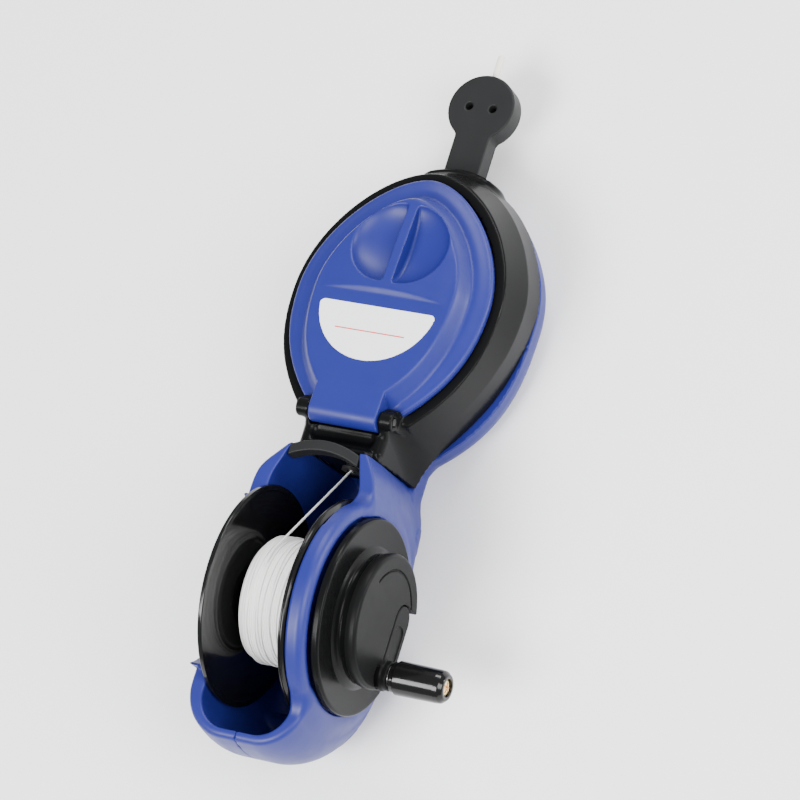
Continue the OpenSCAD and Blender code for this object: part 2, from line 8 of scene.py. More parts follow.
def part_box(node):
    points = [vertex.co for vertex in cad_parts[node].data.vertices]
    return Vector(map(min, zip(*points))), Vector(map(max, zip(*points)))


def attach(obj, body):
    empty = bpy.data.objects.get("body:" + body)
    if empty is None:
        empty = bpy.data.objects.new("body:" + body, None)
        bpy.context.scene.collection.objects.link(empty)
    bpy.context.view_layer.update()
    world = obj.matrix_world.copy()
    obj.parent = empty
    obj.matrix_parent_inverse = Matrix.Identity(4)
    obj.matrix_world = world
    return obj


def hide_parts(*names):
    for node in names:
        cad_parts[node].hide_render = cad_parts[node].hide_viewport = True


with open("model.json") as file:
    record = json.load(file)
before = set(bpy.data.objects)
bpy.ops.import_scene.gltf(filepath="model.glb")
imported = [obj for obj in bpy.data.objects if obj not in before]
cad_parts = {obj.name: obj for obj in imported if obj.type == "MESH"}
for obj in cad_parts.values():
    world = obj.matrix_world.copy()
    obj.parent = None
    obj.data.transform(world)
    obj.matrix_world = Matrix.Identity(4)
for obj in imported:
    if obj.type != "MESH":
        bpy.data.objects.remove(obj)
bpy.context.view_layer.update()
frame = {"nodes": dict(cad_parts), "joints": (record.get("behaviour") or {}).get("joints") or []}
MM = 0.001


def mm_box(node):
    """A node's two corners in millimetres."""
    lo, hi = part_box(node)
    return np.array(lo) / MM, np.array(hi) / MM


def joint_at(name):
    """A joint's place in millimetres."""
    found = next(j for j in frame["joints"] if j["name"] == name)
    return np.array(found["pos_m"]) / MM


# Places read from the frame, in millimetres
AXLE_Z = joint_at("reel_spin")[2]
HINGE_Y, HINGE_Z = joint_at("lid_flip")[1:]
KNOB_Y, KNOB_Z = joint_at("knob_spin")[1:]
ARM_Y = joint_at("crank_arm_fold")[1]
FLANGE_R = (mm_box("spool_drum")[1][2] - mm_box("spool_drum")[0][2]) / 2
FLANGE_X = -mm_box("spool_drum")[0][0]
RING_R = mm_box("right_body_shell")[1][2] - AXLE_Z
LEFT_WALL_Z = mm_box("left_body_shell")[1][2]
CRANK_R = (mm_box("crank_disc")[1][2] - mm_box("crank_disc")[0][2]) / 2
DISC_X = mm_box("crank_disc")[0][0]
CAP_FACE = mm_box("crank_cap")[1][0]
KNOB_X0, KNOB_X1 = mm_box("crank_knob")[0][0], mm_box("crank_knob")[1][0]
ANCHOR_LO, ANCHOR_HI = mm_box("line_anchor")
ANCHOR_R = (ANCHOR_HI[0] - ANCHOR_LO[0]) / 2
ANCHOR_Y = ANCHOR_HI[1] - ANCHOR_R
ANCHOR_Z = (ANCHOR_LO[2] + ANCHOR_HI[2]) / 2
SLEEVE_TIP = mm_box("needle_sleeve")[1][1]

# The label hangs below its straight edge, which is LABEL_V from the hinge, and carries a thin rule
LABEL_V = 31.6
RULE_V = 23.9
RULE_HALF_LENGTH = 10.8
RULE_HALF_HEIGHT = 0.19
RULE_RED = (0.62, 0.05, 0.05, 1)

# ---------------------------------------------------------------- camera
scene = bpy.context.scene
camera = bpy.data.objects.new("camera", bpy.data.cameras.new("camera"))
scene.collection.objects.link(camera)
scene.camera = camera
camera.data.lens = 180
camera.data.sensor_width = 36
camera.location = (0.48737, -0.22101, 0.98965)
camera.rotation_mode = "QUATERNION"
camera.rotation_quaternion = Matrix(((0.88886, -0.15655, 0.43062), (0.28697, 0.92286, -0.25686),
                                     (-0.35719, 0.35188, 0.86521))).to_quaternion()


# ---------------------------------------------------------------- materials
def material(name, colour, rough=0.4, vary=0.06, rough_vary=0.03, bump=0.05, grain=0.35, metallic=0.0,
             specular=0.5, coat=0.0, coat_rough=0.1, sheen=0.0, grain_depth=0.02):
    """A moulded or metal surface: mottled colour, uneven roughness and a fine grain in the bump.

    The grain's size and depth are in millimetres.
    """
    made = bpy.data.materials.new(name)
    made.use_nodes = True
    nodes, link = made.node_tree.nodes, made.node_tree.links
    bsdf = nodes["Principled BSDF"]
    bsdf.inputs["Metallic"].default_value = metallic
    bsdf.inputs["Specular IOR Level"].default_value = specular
    bsdf.inputs["Coat Weight"].default_value = coat
    bsdf.inputs["Coat Roughness"].default_value = coat_rough
    bsdf.inputs["Sheen Weight"].default_value = sheen
    where = nodes.new("ShaderNodeTexCoord")

    def noise(size_mm, detail):
        texture = nodes.new("ShaderNodeTexNoise")
        texture.inputs["Scale"].default_value = 1 / (size_mm * MM)
        texture.inputs["Detail"].default_value = detail
        link.new(where.outputs["Object"], texture.inputs["Vector"])
        return texture.outputs["Fac"]

    def spread(source, low, high):
        ramp = nodes.new("ShaderNodeMapRange")
        ramp.inputs["From Min"].default_value = 0.3
        ramp.inputs["From Max"].default_value = 0.7
        ramp.inputs["To Min"].default_value = low
        ramp.inputs["To Max"].default_value = high
        link.new(source, ramp.inputs["Value"])
        return ramp.outputs["Result"]

    mix = nodes.new("ShaderNodeMix")
    mix.data_type = "RGBA"
    mix.inputs[6].default_value = (*[c * (1 - vary) for c in colour], 1)
    mix.inputs[7].default_value = (*[min(1, c * (1 + vary)) for c in colour], 1)
    link.new(noise(9, 4), mix.inputs[0])
    link.new(mix.outputs[2], bsdf.inputs["Base Color"])
    link.new(spread(noise(4, 5), max(0.02, rough - rough_vary), rough + rough_vary), bsdf.inputs["Roughness"])
    bumps = nodes.new("ShaderNodeBump")
    bumps.inputs["Strength"].default_value = bump
    bumps.inputs["Distance"].default_value = grain_depth * MM
    link.new(noise(grain, 3), bumps.inputs["Height"])
    link.new(bumps.outputs["Normal"], bsdf.inputs["Normal"])
    return made


BLUE = material("blue_plastic", (0.0115, 0.016, 0.152), 0.42, bump=0.2, grain=0.5, specular=0.3)
BLACK = material("black_plastic", (0.004, 0.0042, 0.0044), 0.25, vary=0.12, rough_vary=0.015, bump=0.1,
                 grain=0.6, specular=0.07)
GLOSS = material("gloss_black_plastic", (0.004, 0.004, 0.0042), 0.14, vary=0.1, rough_vary=0.03, bump=0.15,
                 grain=0.8, specular=0.28)
MATT = material("matt_black_plastic", (0.006, 0.0062, 0.0064), 0.38, vary=0.1, rough_vary=0.02, bump=0.35,
                grain=0.25, specular=0.06)
GREY = material("grey_plastic", (0.013, 0.0135, 0.014), 0.45, vary=0.1, bump=0.5, grain=0.3, specular=0.15)
# Near-black metal. On the inlet eyelet this dark colour is painted shade, standing in for the shade it lies
# in under the lip. The hinge pin is simply dark.
SHADED_DARK_METAL = material("dark_metal_painted_shade", (0.02, 0.02, 0.021), 0.35, vary=0.15, bump=0.4, grain=0.2,
                      specular=0.3)
IVORY = material("ivory_plastic", (0.80, 0.77, 0.68), 0.4, vary=0.04, bump=0.3, grain=0.5)
STEEL = material("zinc_steel", (0.55, 0.55, 0.57), 0.28, vary=0.1, bump=0.4, grain=0.2, metallic=1.0)
BRASS = material("brass", (0.78, 0.55, 0.28), 0.27, vary=0.1, bump=0.4, grain=0.2, metallic=1.0)
RUBBER = material("seal_rubber", (0.018, 0.018, 0.018), 0.7, vary=0.1, bump=0.5, grain=0.3)
FELT = material("wad_felt", (0.62, 0.58, 0.50), 0.95, vary=0.15, bump=1.0, grain=0.35, sheen=0.3,
                grain_depth=0.3)
LINE = material("white_line", (0.80, 0.80, 0.79), 0.75, vary=0.05, bump=0.9, grain=0.22, sheen=0.3,
                grain_depth=0.08)


def label_material():
    """White film with one thin red rule across it, placed by the label's own coordinates."""
    film = material("label_film", (0.86, 0.87, 0.88), 0.35, vary=0.02, bump=0.1, grain=0.6, coat=0.2)
    nodes, link = film.node_tree.nodes, film.node_tree.links
    bsdf = nodes["Principled BSDF"]
    base = bsdf.inputs["Base Color"].links[0].from_socket
    where = nodes.new("ShaderNodeTexCoord")
    parts = nodes.new("ShaderNodeSeparateXYZ")
    link.new(where.outputs["Object"], parts.inputs[0])

    def band(socket, centre, half):
        near = nodes.new("ShaderNodeMath")
        near.operation = "COMPARE"
        link.new(socket, near.inputs[0])
        near.inputs[1].default_value = centre
        near.inputs[2].default_value = half
        return near.outputs[0]

    rule = nodes.new("ShaderNodeMath")
    rule.operation = "MULTIPLY"
    link.new(band(parts.outputs["Y"], (HINGE_Y + RULE_V) * MM, RULE_HALF_HEIGHT * MM), rule.inputs[0])
    link.new(band(parts.outputs["X"], 0.0, RULE_HALF_LENGTH * MM), rule.inputs[1])
    mix = nodes.new("ShaderNodeMix")
    mix.data_type = "RGBA"
    link.new(rule.outputs[0], mix.inputs[0])
    link.new(base, mix.inputs[6])
    mix.inputs[7].default_value = RULE_RED
    link.new(mix.outputs[2], bsdf.inputs["Base Color"])
    return film


# ---------------------------------------------------------------- pieces
def piece(name, verts, faces, mat, body, slot, *nodes, normals=None):
    """A mesh in millimetres becomes a piece on a body that stands for CAD nodes."""
    mesh = bpy.data.meshes.new(name)
    mesh.from_pydata((np.asarray(verts) * MM).tolist(), [], faces)
    mesh.polygons.foreach_set("use_smooth", [True] * len(mesh.polygons))
    mesh.materials.append(mat)
    if normals is not None:
        mesh.normals_split_custom_set_from_vertices(normals.tolist())
    mesh.update()
    ob = bpy.data.objects.new(name, mesh)
    scene.collection.objects.link(ob)
    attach(ob, body)
    if nodes:
        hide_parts(*nodes)
    return ob


CORNERS = [(i, j, k) for i in (0, 1) for j in (0, 1) for k in (0, 1)]
EDGES = [(a, b) for a in range(8) for b in range(a + 1, 8)
         if sum(abs(CORNERS[a][i] - CORNERS[b][i]) for i in range(3)) == 1]


def gradient(solid, points, reach):
    """How a solid's value rises along each axis, measured over twice the reach."""
    slope = np.empty_like(points)
    for i in range(3):
        d = np.zeros(3)
        d[i] = reach
        slope[:, i] = (solid(*(points + d).T) - solid(*(points - d).T)) / (2 * reach)
    return slope


def settled(solid, start, step, rounds=3):
    """Points pulled onto the surface of a solid, each no farther than its own grid cell."""
    points = start.copy()
    for _ in range(rounds):
        slope = gradient(solid, points, 0.02)
        move = slope * (solid(*points.T) / np.maximum((slope ** 2).sum(1), 0.05))[:, None]
        points -= np.clip(move, -0.3 * step, 0.3 * step)
    return start + np.clip(points - start, -0.8 * step, 0.8 * step)


def grid_quads(inside, ids):
    """A quad round every grid edge that crosses the surface, facing out of the solid."""
    n = inside.shape
    quads = []
    for d in range(3):
        u, w = (d + 1) % 3, (d + 2) % 3
        low = [slice(None)] * 3
        high = [slice(None)] * 3
        low[d], high[d] = slice(0, n[d] - 1), slice(1, n[d])
        e = np.argwhere(inside[tuple(low)] != inside[tuple(high)])
        e = e[(e[:, u] > 0) & (e[:, w] > 0) & (e[:, u] < n[u] - 1) & (e[:, w] < n[w] - 1)]
        du, dw = np.eye(3, dtype=int)[u], np.eye(3, dtype=int)[w]
        quad = np.stack([ids[tuple(c.T)] for c in (e, e - du, e - du - dw, e - dw)], 1)
        quads.append(np.where(inside[tuple(e.T)][:, None], quad, quad[:, ::-1]))
    quads = np.concatenate(quads)
    return quads[(quads >= 0).all(1)]


def skin(solid, lo, hi, step):
    """Points, quads and normals of the surface of a solid, which is below 0 inside, between two corners."""
    axes = [np.arange(lo[i] - 1.5 * step, hi[i] + 1.6 * step, step) for i in range(3)]
    n = [len(a) for a in axes]
    gy, gz = np.meshgrid(axes[1], axes[2], indexing="ij")
    depth = np.stack([solid(np.full(gy.size, x), gy.ravel(), gz.ravel()).reshape(gy.shape) for x in axes[0]])
    inside = depth < 0
    total = sum(inside[i:n[0] - 1 + i, j:n[1] - 1 + j, k:n[2] - 1 + k].astype(np.int8) for i, j, k in CORNERS)
    cells = np.argwhere((total > 0) & (total < 8))
    ids = np.full(total.shape, -1, np.int64)
    ids[tuple(cells.T)] = np.arange(len(cells))
    corner = [depth[tuple((cells + c).T)] for c in CORNERS]
    sums, count = np.zeros((len(cells), 3)), np.zeros(len(cells))
    for a, b in EDGES:
        cross = (corner[a] < 0) != (corner[b] < 0)
        t = np.where(cross, corner[a] / np.where(cross, corner[a] - corner[b], 1), 0)
        at = np.array(CORNERS[a]) + t[:, None] * (np.array(CORNERS[b]) - np.array(CORNERS[a]))
        sums += np.where(cross[:, None], at, 0)
        count += cross
    start = np.array([a[0] for a in axes]) + (cells + sums / count[:, None]) * step
    points = settled(solid, start, step)
    slope = gradient(solid, points, 0.08)
    normals = slope / np.maximum(np.linalg.norm(slope, axis=1), 1e-6)[:, None]
    return points, grid_quads(inside, ids).tolist(), normals


def skinned(name, solid, lo, hi, step, mat, body, slot, *nodes):
    """The surface of a solid between two corners becomes a piece."""
    points, quads, normals = skin(solid, lo, hi, step)
    return piece(name, points, quads, mat, body, slot, *nodes, normals=normals)


# ---------------------------------------------------------------- shapes
# A solid is a function of x, y and z in millimetres that is below 0 inside it. The last number given to
# rmax or rmin is the rounding of the edge, and FAR stands for a solid that isn't there.
FAR = 50.0


def rmax(a, b, r):
    """Both at once, with the edge between them rounded to r."""
    return np.minimum(np.maximum(a + r, b + r), 0) + np.hypot(np.maximum(a + r, 0), np.maximum(b + r, 0)) - r


def rmin(a, b, r):
    """Either one, with a fillet of r where they meet."""
    return -rmax(-a, -b, r)


def blended(a, b, k):
    """Either one, run into each other over k."""
    h = np.clip(0.5 + 0.5 * (b - a) / k, 0, 1)
    return b + (a - b) * h - k * h * (1 - h)


def smooth(a, b, t):
    """0 up to a and 1 from b, with a soft step between them."""
    t = np.clip((t - a) / (b - a), 0, 1)
    return t * t * (3 - 2 * t)


def bezier(a, b, c, d, n=40):
    """Points along the cubic curve from a to d with the handles b and c."""
    t = np.linspace(0, 1, n)[:, None]
    return (1 - t) ** 3 * a + 3 * (1 - t) ** 2 * t * b + 3 * (1 - t) * t * t * c + t ** 3 * d


class Egg:
    """Signed distance to an egg outline that narrows to a flat end at low y.

    Each flank is two curves that meet at the greatest half width, and the pulls say how far their handles
    reach. The distances are worked out once on a grid and then read with a cubic spline.
    """

    def __init__(self, top, wide, wide_y, top_pull, upper_pull, lower_pull, end, end_wide, end_handle,
                 step=0.5):
        tip, flank, foot = np.array([0, top]), np.array([wide, wide_y]), np.array([end_wide, end])
        upper = bezier(tip, np.array([top_pull, top]), np.array([wide, wide_y + upper_pull]), flank)
        lower = bezier(flank, np.array([wide, wide_y - lower_pull]), np.array(end_handle), foot)
        side = np.concatenate([upper, lower[1:], [[0, end]]])
        ring = np.concatenate([side, side[::-1] * [-1, 1]])
        self.lo, self.step = np.array([-10.0, end - 12]), step
        xs = np.arange(self.lo[0], wide + 12, step)
        ys = np.arange(self.lo[1], top + 12, step)
        px, py = [g.ravel() for g in np.meshgrid(xs, ys, indexing="ij")]
        best, inside = np.full(px.size, 1e9), np.zeros(px.size, bool)
        for p, q in zip(ring, np.roll(ring, -1, axis=0)):
            d = q - p
            if d @ d < 1e-12:
                continue
            t = np.clip(((px - p[0]) * d[0] + (py - p[1]) * d[1]) / (d @ d), 0, 1)
            best = np.minimum(best, np.hypot(px - p[0] - t * d[0], py - p[1] - t * d[1]))
            if p[1] != q[1]:
                over = (p[1] > py) != (q[1] > py)
                inside ^= over & (px < (q[0] - p[0]) * (py - p[1]) / (q[1] - p[1]) + p[0])
        self.v = np.where(inside, -best, best).reshape(len(xs), len(ys))

    def __call__(self, x, y):
        gx = np.clip((np.abs(x) - self.lo[0]) / self.step, 1, self.v.shape[0] - 3.001)
        gy = np.clip((y - self.lo[1]) / self.step, 1, self.v.shape[1] - 3.001)
        i, j = gx.astype(int), gy.astype(int)

        def weights(t):
            middle = (3 * t ** 3 - 6 * t * t + 4) / 6
            return (1 - t) ** 3 / 6, middle, (-3 * t ** 3 + 3 * t * t + 3 * t + 1) / 6, t ** 3 / 6

        wx, wy = weights(gx - i), weights(gy - j)
        out = 0
        for a in range(4):
            for b in range(4):
                out = out + wx[a] * wy[b] * self.v[i + a - 1, j + b - 1]
        return out


def rounded_bar(a, half_a, b, half_b, r):
    """Signed distance to a rectangle with rounded corners, in the plane of a and b."""
    qa, qb = np.abs(a) - half_a + r, np.abs(b) - half_b + r
    return np.minimum(np.maximum(qa, qb), 0) + np.hypot(np.maximum(qa, 0), np.maximum(qb, 0)) - r


def filleted(corners):
    """A profile of (x, radius, rounding) corners with its inner corners rounded.

    Long straight stretches get a point close to each of their ends, which keeps their shading flat.
    """
    pts = []
    last = len(corners) - 1
    for i, (x, y, r) in enumerate(corners):
        p = np.array([x, y], float)
        if r <= 0 or i in (0, last):
            pts.append(p)
            continue
        a, b = np.array(corners[i - 1][:2], float), np.array(corners[i + 1][:2], float)
        ua, ub = (a - p) / np.linalg.norm(a - p), (b - p) / np.linalg.norm(b - p)
        half = math.acos(np.clip(ua @ ub, -1, 1)) / 2
        cut = min(r / math.tan(half), 0.48 * np.linalg.norm(a - p), 0.48 * np.linalg.norm(b - p))
        for t in np.linspace(0, 1, 9):
            pts.append((1 - t) ** 2 * (p + cut * ua) + 2 * t * (1 - t) * p + t * t * (p + cut * ub))
    held = [pts[0]]
    for p in pts[1:]:
        gap = np.linalg.norm(p - held[-1])
        if gap > 0.6:
            held += [held[-1] + (p - held[-1]) * 0.12 / gap, p + (held[-1] - p) * 0.12 / gap]
        if gap > 1e-6:
            held.append(p)
    return np.array(held)


def turned(profile, y=0.0, z=None, seg=160):
    """A closed profile of (x, radius) points turned about an axis along X, the reel's own unless told."""
    z = AXLE_Z if z is None else z
    a = np.linspace(0, 2 * np.pi, seg, endpoint=False)
    verts = [np.stack([np.full(seg, x), y + r * np.cos(a), z + r * np.sin(a)], 1) for x, r in profile]
    n = len(profile)
    faces = []
    for i in range(n):
        j = (i + 1) % n
        for k in range(seg):
            m = (k + 1) % seg
            faces.append((i * seg + k, i * seg + m, j * seg + m, j * seg + k))
    return np.concatenate(verts), faces


def tube(route, radius, sides=10):
    """A round tube along a route of points, with closed ends."""
    route = np.asarray(route, float)
    t = np.gradient(route, axis=0)
    t /= np.linalg.norm(t, axis=1)[:, None]
    up = np.array([1.0, 0, 0]) if abs(t[0][0]) < 0.9 else np.array([0, 0, 1.0])
    a = np.linspace(0, 2 * np.pi, sides, endpoint=False)
    rings = []
    for p, d in zip(route, t):
        up = up - d * (up @ d)
        up /= np.linalg.norm(up)
        rings.append(p + radius * (np.cos(a)[:, None] * up + np.sin(a)[:, None] * np.cross(d, up)))
    faces = []
    for i in range(len(route) - 1):
        for k in range(sides):
            m = (k + 1) % sides
            faces.append((i * sides + k, i * sides + m, (i + 1) * sides + m, (i + 1) * sides + k))
    faces.append(tuple(range(sides))[::-1])
    faces.append(tuple((len(route) - 1) * sides + k for k in range(sides)))
    return np.concatenate(rings), faces


def joined(parts):
    """Several (points, faces) meshes as one."""
    verts, faces, at = [], [], 0
    for points, quads in parts:
        verts.append(points)
        faces += [tuple(i + at for i in face) for face in quads]
        at += len(points)
    return np.concatenate(verts), faces


def flipped(mesh):
    """The same (points, faces) mesh with its faces turned the other way."""
    points, faces = mesh
    return points, [face[::-1] for face in faces]


# ---------------------------------------------------------------- body halves
# W is a half width, R a radius, and X, Y or Z a place on that axis
CRADLE_R, CRADLE_W = 43.5, 17.8
NECK_W, NECK_Y0, NECK_Y1 = 13.0, 14, 60
WAIST_Y, WAIST_LEN = 24, 18
BAY_W, BAY_NECK_W, BAY_FLOOR_Z = 13.4, 10.4, 3.2
WALL = 2.5
RIM_Z = 45.5
END_Y, END_LEAN = 42.4, 0.075
SEAM_Z = 11.1
BACK_ROUND = 6
RING_X, RING_ROUND = 18.8, 2.6
LOW_RING_W, LOW_RING_FOOT = 25, 14
DIP_Z, DIP_RISE, DIP_FLAT_W, DIP_W = 42, 6.6, 19, 25.6
CORNER_AT, CORNER_FACING = (12.2, 40.8, RIM_Z), (0.72, 0.64, 0.27)
DISC_RECESS_R, DISC_RECESS_X = 27.3, 16
BOSS_R, BOSS_W = 8, 20
AXLE_HOLE_R, CLIP_RECESS_R, CLIP_RECESS_X = 4.5, 6, -16.6
RECESS_R, RECESS_Y, RECESS_FLOOR_Z, RECESS_LEDGE_Z = 26, 96, 2.6, 7.5
NOSE_GAP_W, NOSE_GAP_HALF_Z, NOSE_GAP_Y = 12.75, 4.9, 128
HALF_GAP, HALF_X, BODY_Y = 0.04, 35, 139.5
SCREW_BORE, SCREW_HEAD_BORE, SCREW_BOSS_R = 1.5, 2.95, 3.2
# The halves' screws, each with the x that its head seats on, and the pot's four posts
CLAMPS = [(-28.5, 5.9, -12.5), (31, 6.2, -11), (54, 5.8, -10)]
POSTS = [(-18, 74), (18, 74), (-18, 114), (18, 114)]
TRAY = Egg(top=138.6, wide=34.7, wide_y=96, top_pull=13, upper_pull=22, lower_pull=22,
           end=50.7, end_wide=13.3, end_handle=(28.4, 62.2))
POT = Egg(top=137.3, wide=33.8, wide_y=100, top_pull=22, upper_pull=11, lower_pull=29.5,
          end=47, end_wide=11.4, end_handle=(18.1, 59))
MOUTH = Egg(top=132.4, wide=32.0, wide_y=92, top_pull=14.5, upper_pull=21, lower_pull=14,
            end=55.6, end_wide=17, end_handle=(28.4, 67.5))
LID = Egg(top=129.3, wide=29.5, wide_y=92, top_pull=12, upper_pull=18.5, lower_pull=13.5,
          end=57.8, end_wide=15.0, end_handle=(25.7, 68.6))
PLATEAU = Egg(top=121.2, wide=22.3, wide_y=91, top_pull=9, upper_pull=14.5, lower_pull=12,
              end=60.2, end_wide=10.6, end_handle=(19.5, 69))


def drum(x, y, z, w, r, corner):
    """A disc round the axle of half width w and radius r, with its corners rounded."""
    return rounded_bar(x, w, np.hypot(y, z - AXLE_Z), r, corner)


def waist(y, wide, narrow):
    """Half width of the neck, which narrows from the cradle towards the pot."""
    return wide - (wide - narrow) * np.clip((y - WAIST_Y) / WAIST_LEN, 0, 1.15) ** 2.2


def cradle_outside(x, y, z):
    """The rounded drum over the reel, run into the neck and flat at the back."""
    foot = BACK_ROUND + 5 * smooth(42, 22, y)
    neck = np.maximum(rmax((np.abs(x) - waist(y, CRADLE_W, NECK_W)) * 0.88, -z, foot),
                      np.maximum(y - NECK_Y1, NECK_Y0 - y))
    return rmax(blended(drum(x, y, z, CRADLE_W, CRADLE_R, 13), neck, 4), -z, BACK_ROUND)


def cradle_walls(x, y, z, outside):
    """The cradle up to its rim, with a whole ring on the right wall and a low one on the left.

    The left wall's corner by the neck is cut off at a slant.
    """
    ax, rr = np.abs(x), np.hypot(y, z - AXLE_Z)
    end = y - END_Y - (RIM_Z - z) * END_LEAN
    shell = rmax(rmax(outside, z - RIM_Z, 1.3 - 0.6 * smooth(20, 36, y)), end, 0.2)
    ring = rmax(ax - RING_X, rr - RING_R, RING_ROUND)
    shell = rmin(shell, np.where(x > 0, ring, FAR), 4.0)
    low_ring = np.maximum(ring, np.maximum(np.abs(y) - LOW_RING_W, LOW_RING_FOOT - z))
    low_ring = rmax(low_ring, z - LEFT_WALL_Z, 0.5)
    shell = rmin(shell, np.where(x < 0, low_ring, FAR), 0.6)
    shell = rmax(shell, -np.maximum(rr - DISC_RECESS_R, DISC_RECESS_X - x), 0.5)
    boss = np.where(np.abs(z - AXLE_Z) < BOSS_W, np.maximum(rr - BOSS_R, ax - RING_X), FAR)
    shell = rmin(shell, boss, 0.5)
    corner_cut = sum((at - place) * facing for at, place, facing in zip((ax, y, z), CORNER_AT, CORNER_FACING))
    return rmax(shell, np.where(x < 0, corner_cut, -FAR), 1.0)


def tray_solid(x, y, z, egg):
    """The flat tray under the pot, up to the seam."""
    neck = np.maximum(rmax(np.abs(x) - NECK_W, -z, BACK_ROUND), np.maximum(y - NECK_Y1, 20 - y))
    tray = rmin(rmax(egg, -z, 8), neck, 2.5)
    return rmax(rmax(tray, z - SEAM_Z + 0.1, 0.25), 30 - y, 0.25)


def bay(x, y, z):
    """The hollow for the reel, open towards the pot."""
    neck = np.maximum((np.abs(x) - waist(y, BAY_W, BAY_NECK_W)) * 0.95, np.maximum(y - 46, 18 - y))
    return rmax(blended(drum(x, y, z, BAY_W, CRADLE_R - WALL, 9), neck, 1.5), BAY_FLOOR_Z - z, 5)


def left_dip(x, y, z):
    """What the left wall's top edge is cut down by, between two corners that stand up."""
    edge = DIP_Z + DIP_RISE * (np.clip(np.abs(y) - DIP_FLAT_W, 0, 6.5) / 6) ** 2
    return np.where(x < 0, rmax((edge - z) * 0.6, np.abs(y) - DIP_W, 0.3), FAR)


def with_screw_seats(whole, x, y, z, outside):
    """The halves' screw bosses with their bores, and the heads' recesses of the pot's screws."""
    for cy, cz, seat in CLAMPS:
        q = np.hypot(y - cy, z - cz)
        boss = np.maximum(q - SCREW_BOSS_R, rmax(outside, -z, BACK_ROUND) + 0.3)
        boss = np.maximum(boss, np.abs(x) - 17)
        whole = rmin(whole, boss, 1.0)
        whole = rmax(whole, -np.maximum(q - SCREW_HEAD_BORE, x - seat), 0.3)
        whole = np.maximum(whole, -np.maximum(np.maximum(q - SCREW_BORE, x - 10), seat - 1 - x))
    for px, py in POSTS:
        whole = rmax(whole, -np.maximum(np.hypot(x - px, y - py) - SCREW_HEAD_BORE - 0.1, z - 1.5), 0.3)
    return whole


def body_solid(x, y, z):
    """Both halves together: cradle and tray, less the bay, the pot's recess and all bores."""
    rr = np.hypot(y, z - AXLE_Z)
    outside = cradle_outside(x, y, z)
    egg = TRAY(x, y) + 0.7 * smooth(112, 92, y)
    whole = rmin(cradle_walls(x, y, z, outside), tray_solid(x, y, z, egg), 1.5)
    whole = np.maximum(whole, -z)
    whole = rmax(whole, -bay(x, y, z), 0.9 - 0.35 * smooth(20, 36, y))
    whole = rmax(whole, -left_dip(x, y, z), 0.5)
    floor_z = np.where(np.hypot(x, y - RECESS_Y) < RECESS_R, RECESS_FLOOR_Z, RECESS_LEDGE_Z)
    recess = rmax(np.maximum(egg + 2.4, POT(x, y) + 1.3), floor_z - z, 0.3)
    whole = rmax(whole, -recess, 0.2)
    nose_gap = rounded_bar(x, NOSE_GAP_W, z - ANCHOR_Z, NOSE_GAP_HALF_Z, NOSE_GAP_HALF_Z - 0.1)
    whole = rmax(whole, -np.maximum(nose_gap, NOSE_GAP_Y - y), 0.2)
    whole = with_screw_seats(whole, x, y, z, outside)
    whole = rmax(whole, -np.maximum(rr - AXLE_HOLE_R, CLIP_RECESS_X - 0.1 - x), 0.2)
    return rmax(whole, -np.maximum(rr - CLIP_RECESS_R, x - CLIP_RECESS_X), 0.4)


def body_half(name, side, top_z, node):
    """The body on one side of its middle, a hair short of it so that the joint shows."""
    low_x, high_x = sorted((0, side * HALF_X))
    skinned(name, lambda x, y, z: rmax(body_solid(x, y, z), HALF_GAP - side * x, 0.25),
            (low_x, -CRADLE_R, 0), (high_x, BODY_Y, top_z), 0.6, BLUE, "body", "blue_plastic", node)


body_half("body_right_half", 1, AXLE_Z + RING_R, "right_body_shell")
body_half("body_left_half", -1, LEFT_WALL_Z, "left_body_shell")

# ---------------------------------------------------------------- ink pot
TILT = math.radians(4.36)
COS, SIN = math.cos(TILT), math.sin(TILT)
POT_RIM = -4.3
POT_WALL, MOUTH_WALL = 3.2, 3.3
CREASE_AT, CREASE_OUT = 0.47, 1.45
SADDLE_Z, SADDLE_LIP = 38.3, 6.2
BOWL_Y, BOWL_Z, BOWL_R, BOWL_W = 48.8, 45, 4.7, 10.6
EAR_X, EAR_HALF, EAR_R = 12.85, 1.95, 2.7
COLLAR_W, COLLAR_HALF_Z, COLLAR_Y = 12.6, 4.7, 138.3
NOSE_MOUTH_W, NOSE_MOUTH_HALF_Z, NOSE_MOUTH_Y = 11.2, 3.75, 134.6
SOCKET_W, SOCKET_HALF_Z, SOCKET_Y = 5.8, 3.6, 133.6
BASE_MID_Z, BASE_HALF_Z = 10.1, 1.1
PIN_HOLE_R = 1.15
NOZZLE_BORE_R, EYELET_BORE_R, LINE_BORE_R = 2.05, 2.05, 1.1
POST_R = 2.9
LIP_Z, LIP_HALF_Y, LIP_HALF_Z, LIP_W = 44.0, 1.55, 2.3, 10.75
INLET_Z = 26
FALL_Y, FALL_Z, FALL_SLOPE = 50.6, 25, 1.06


def lid_local(y, z):
    """Distance from the hinge along the lid, and height over the hinge square to the lid."""
    return (y - HINGE_Y) * COS - (z - HINGE_Z) * SIN, (y - HINGE_Y) * SIN + (z - HINGE_Z) * COS


def from_hinge(y, z):
    """Distance from the hinge's axis."""
    return np.hypot(y - HINGE_Y, z - HINGE_Z)


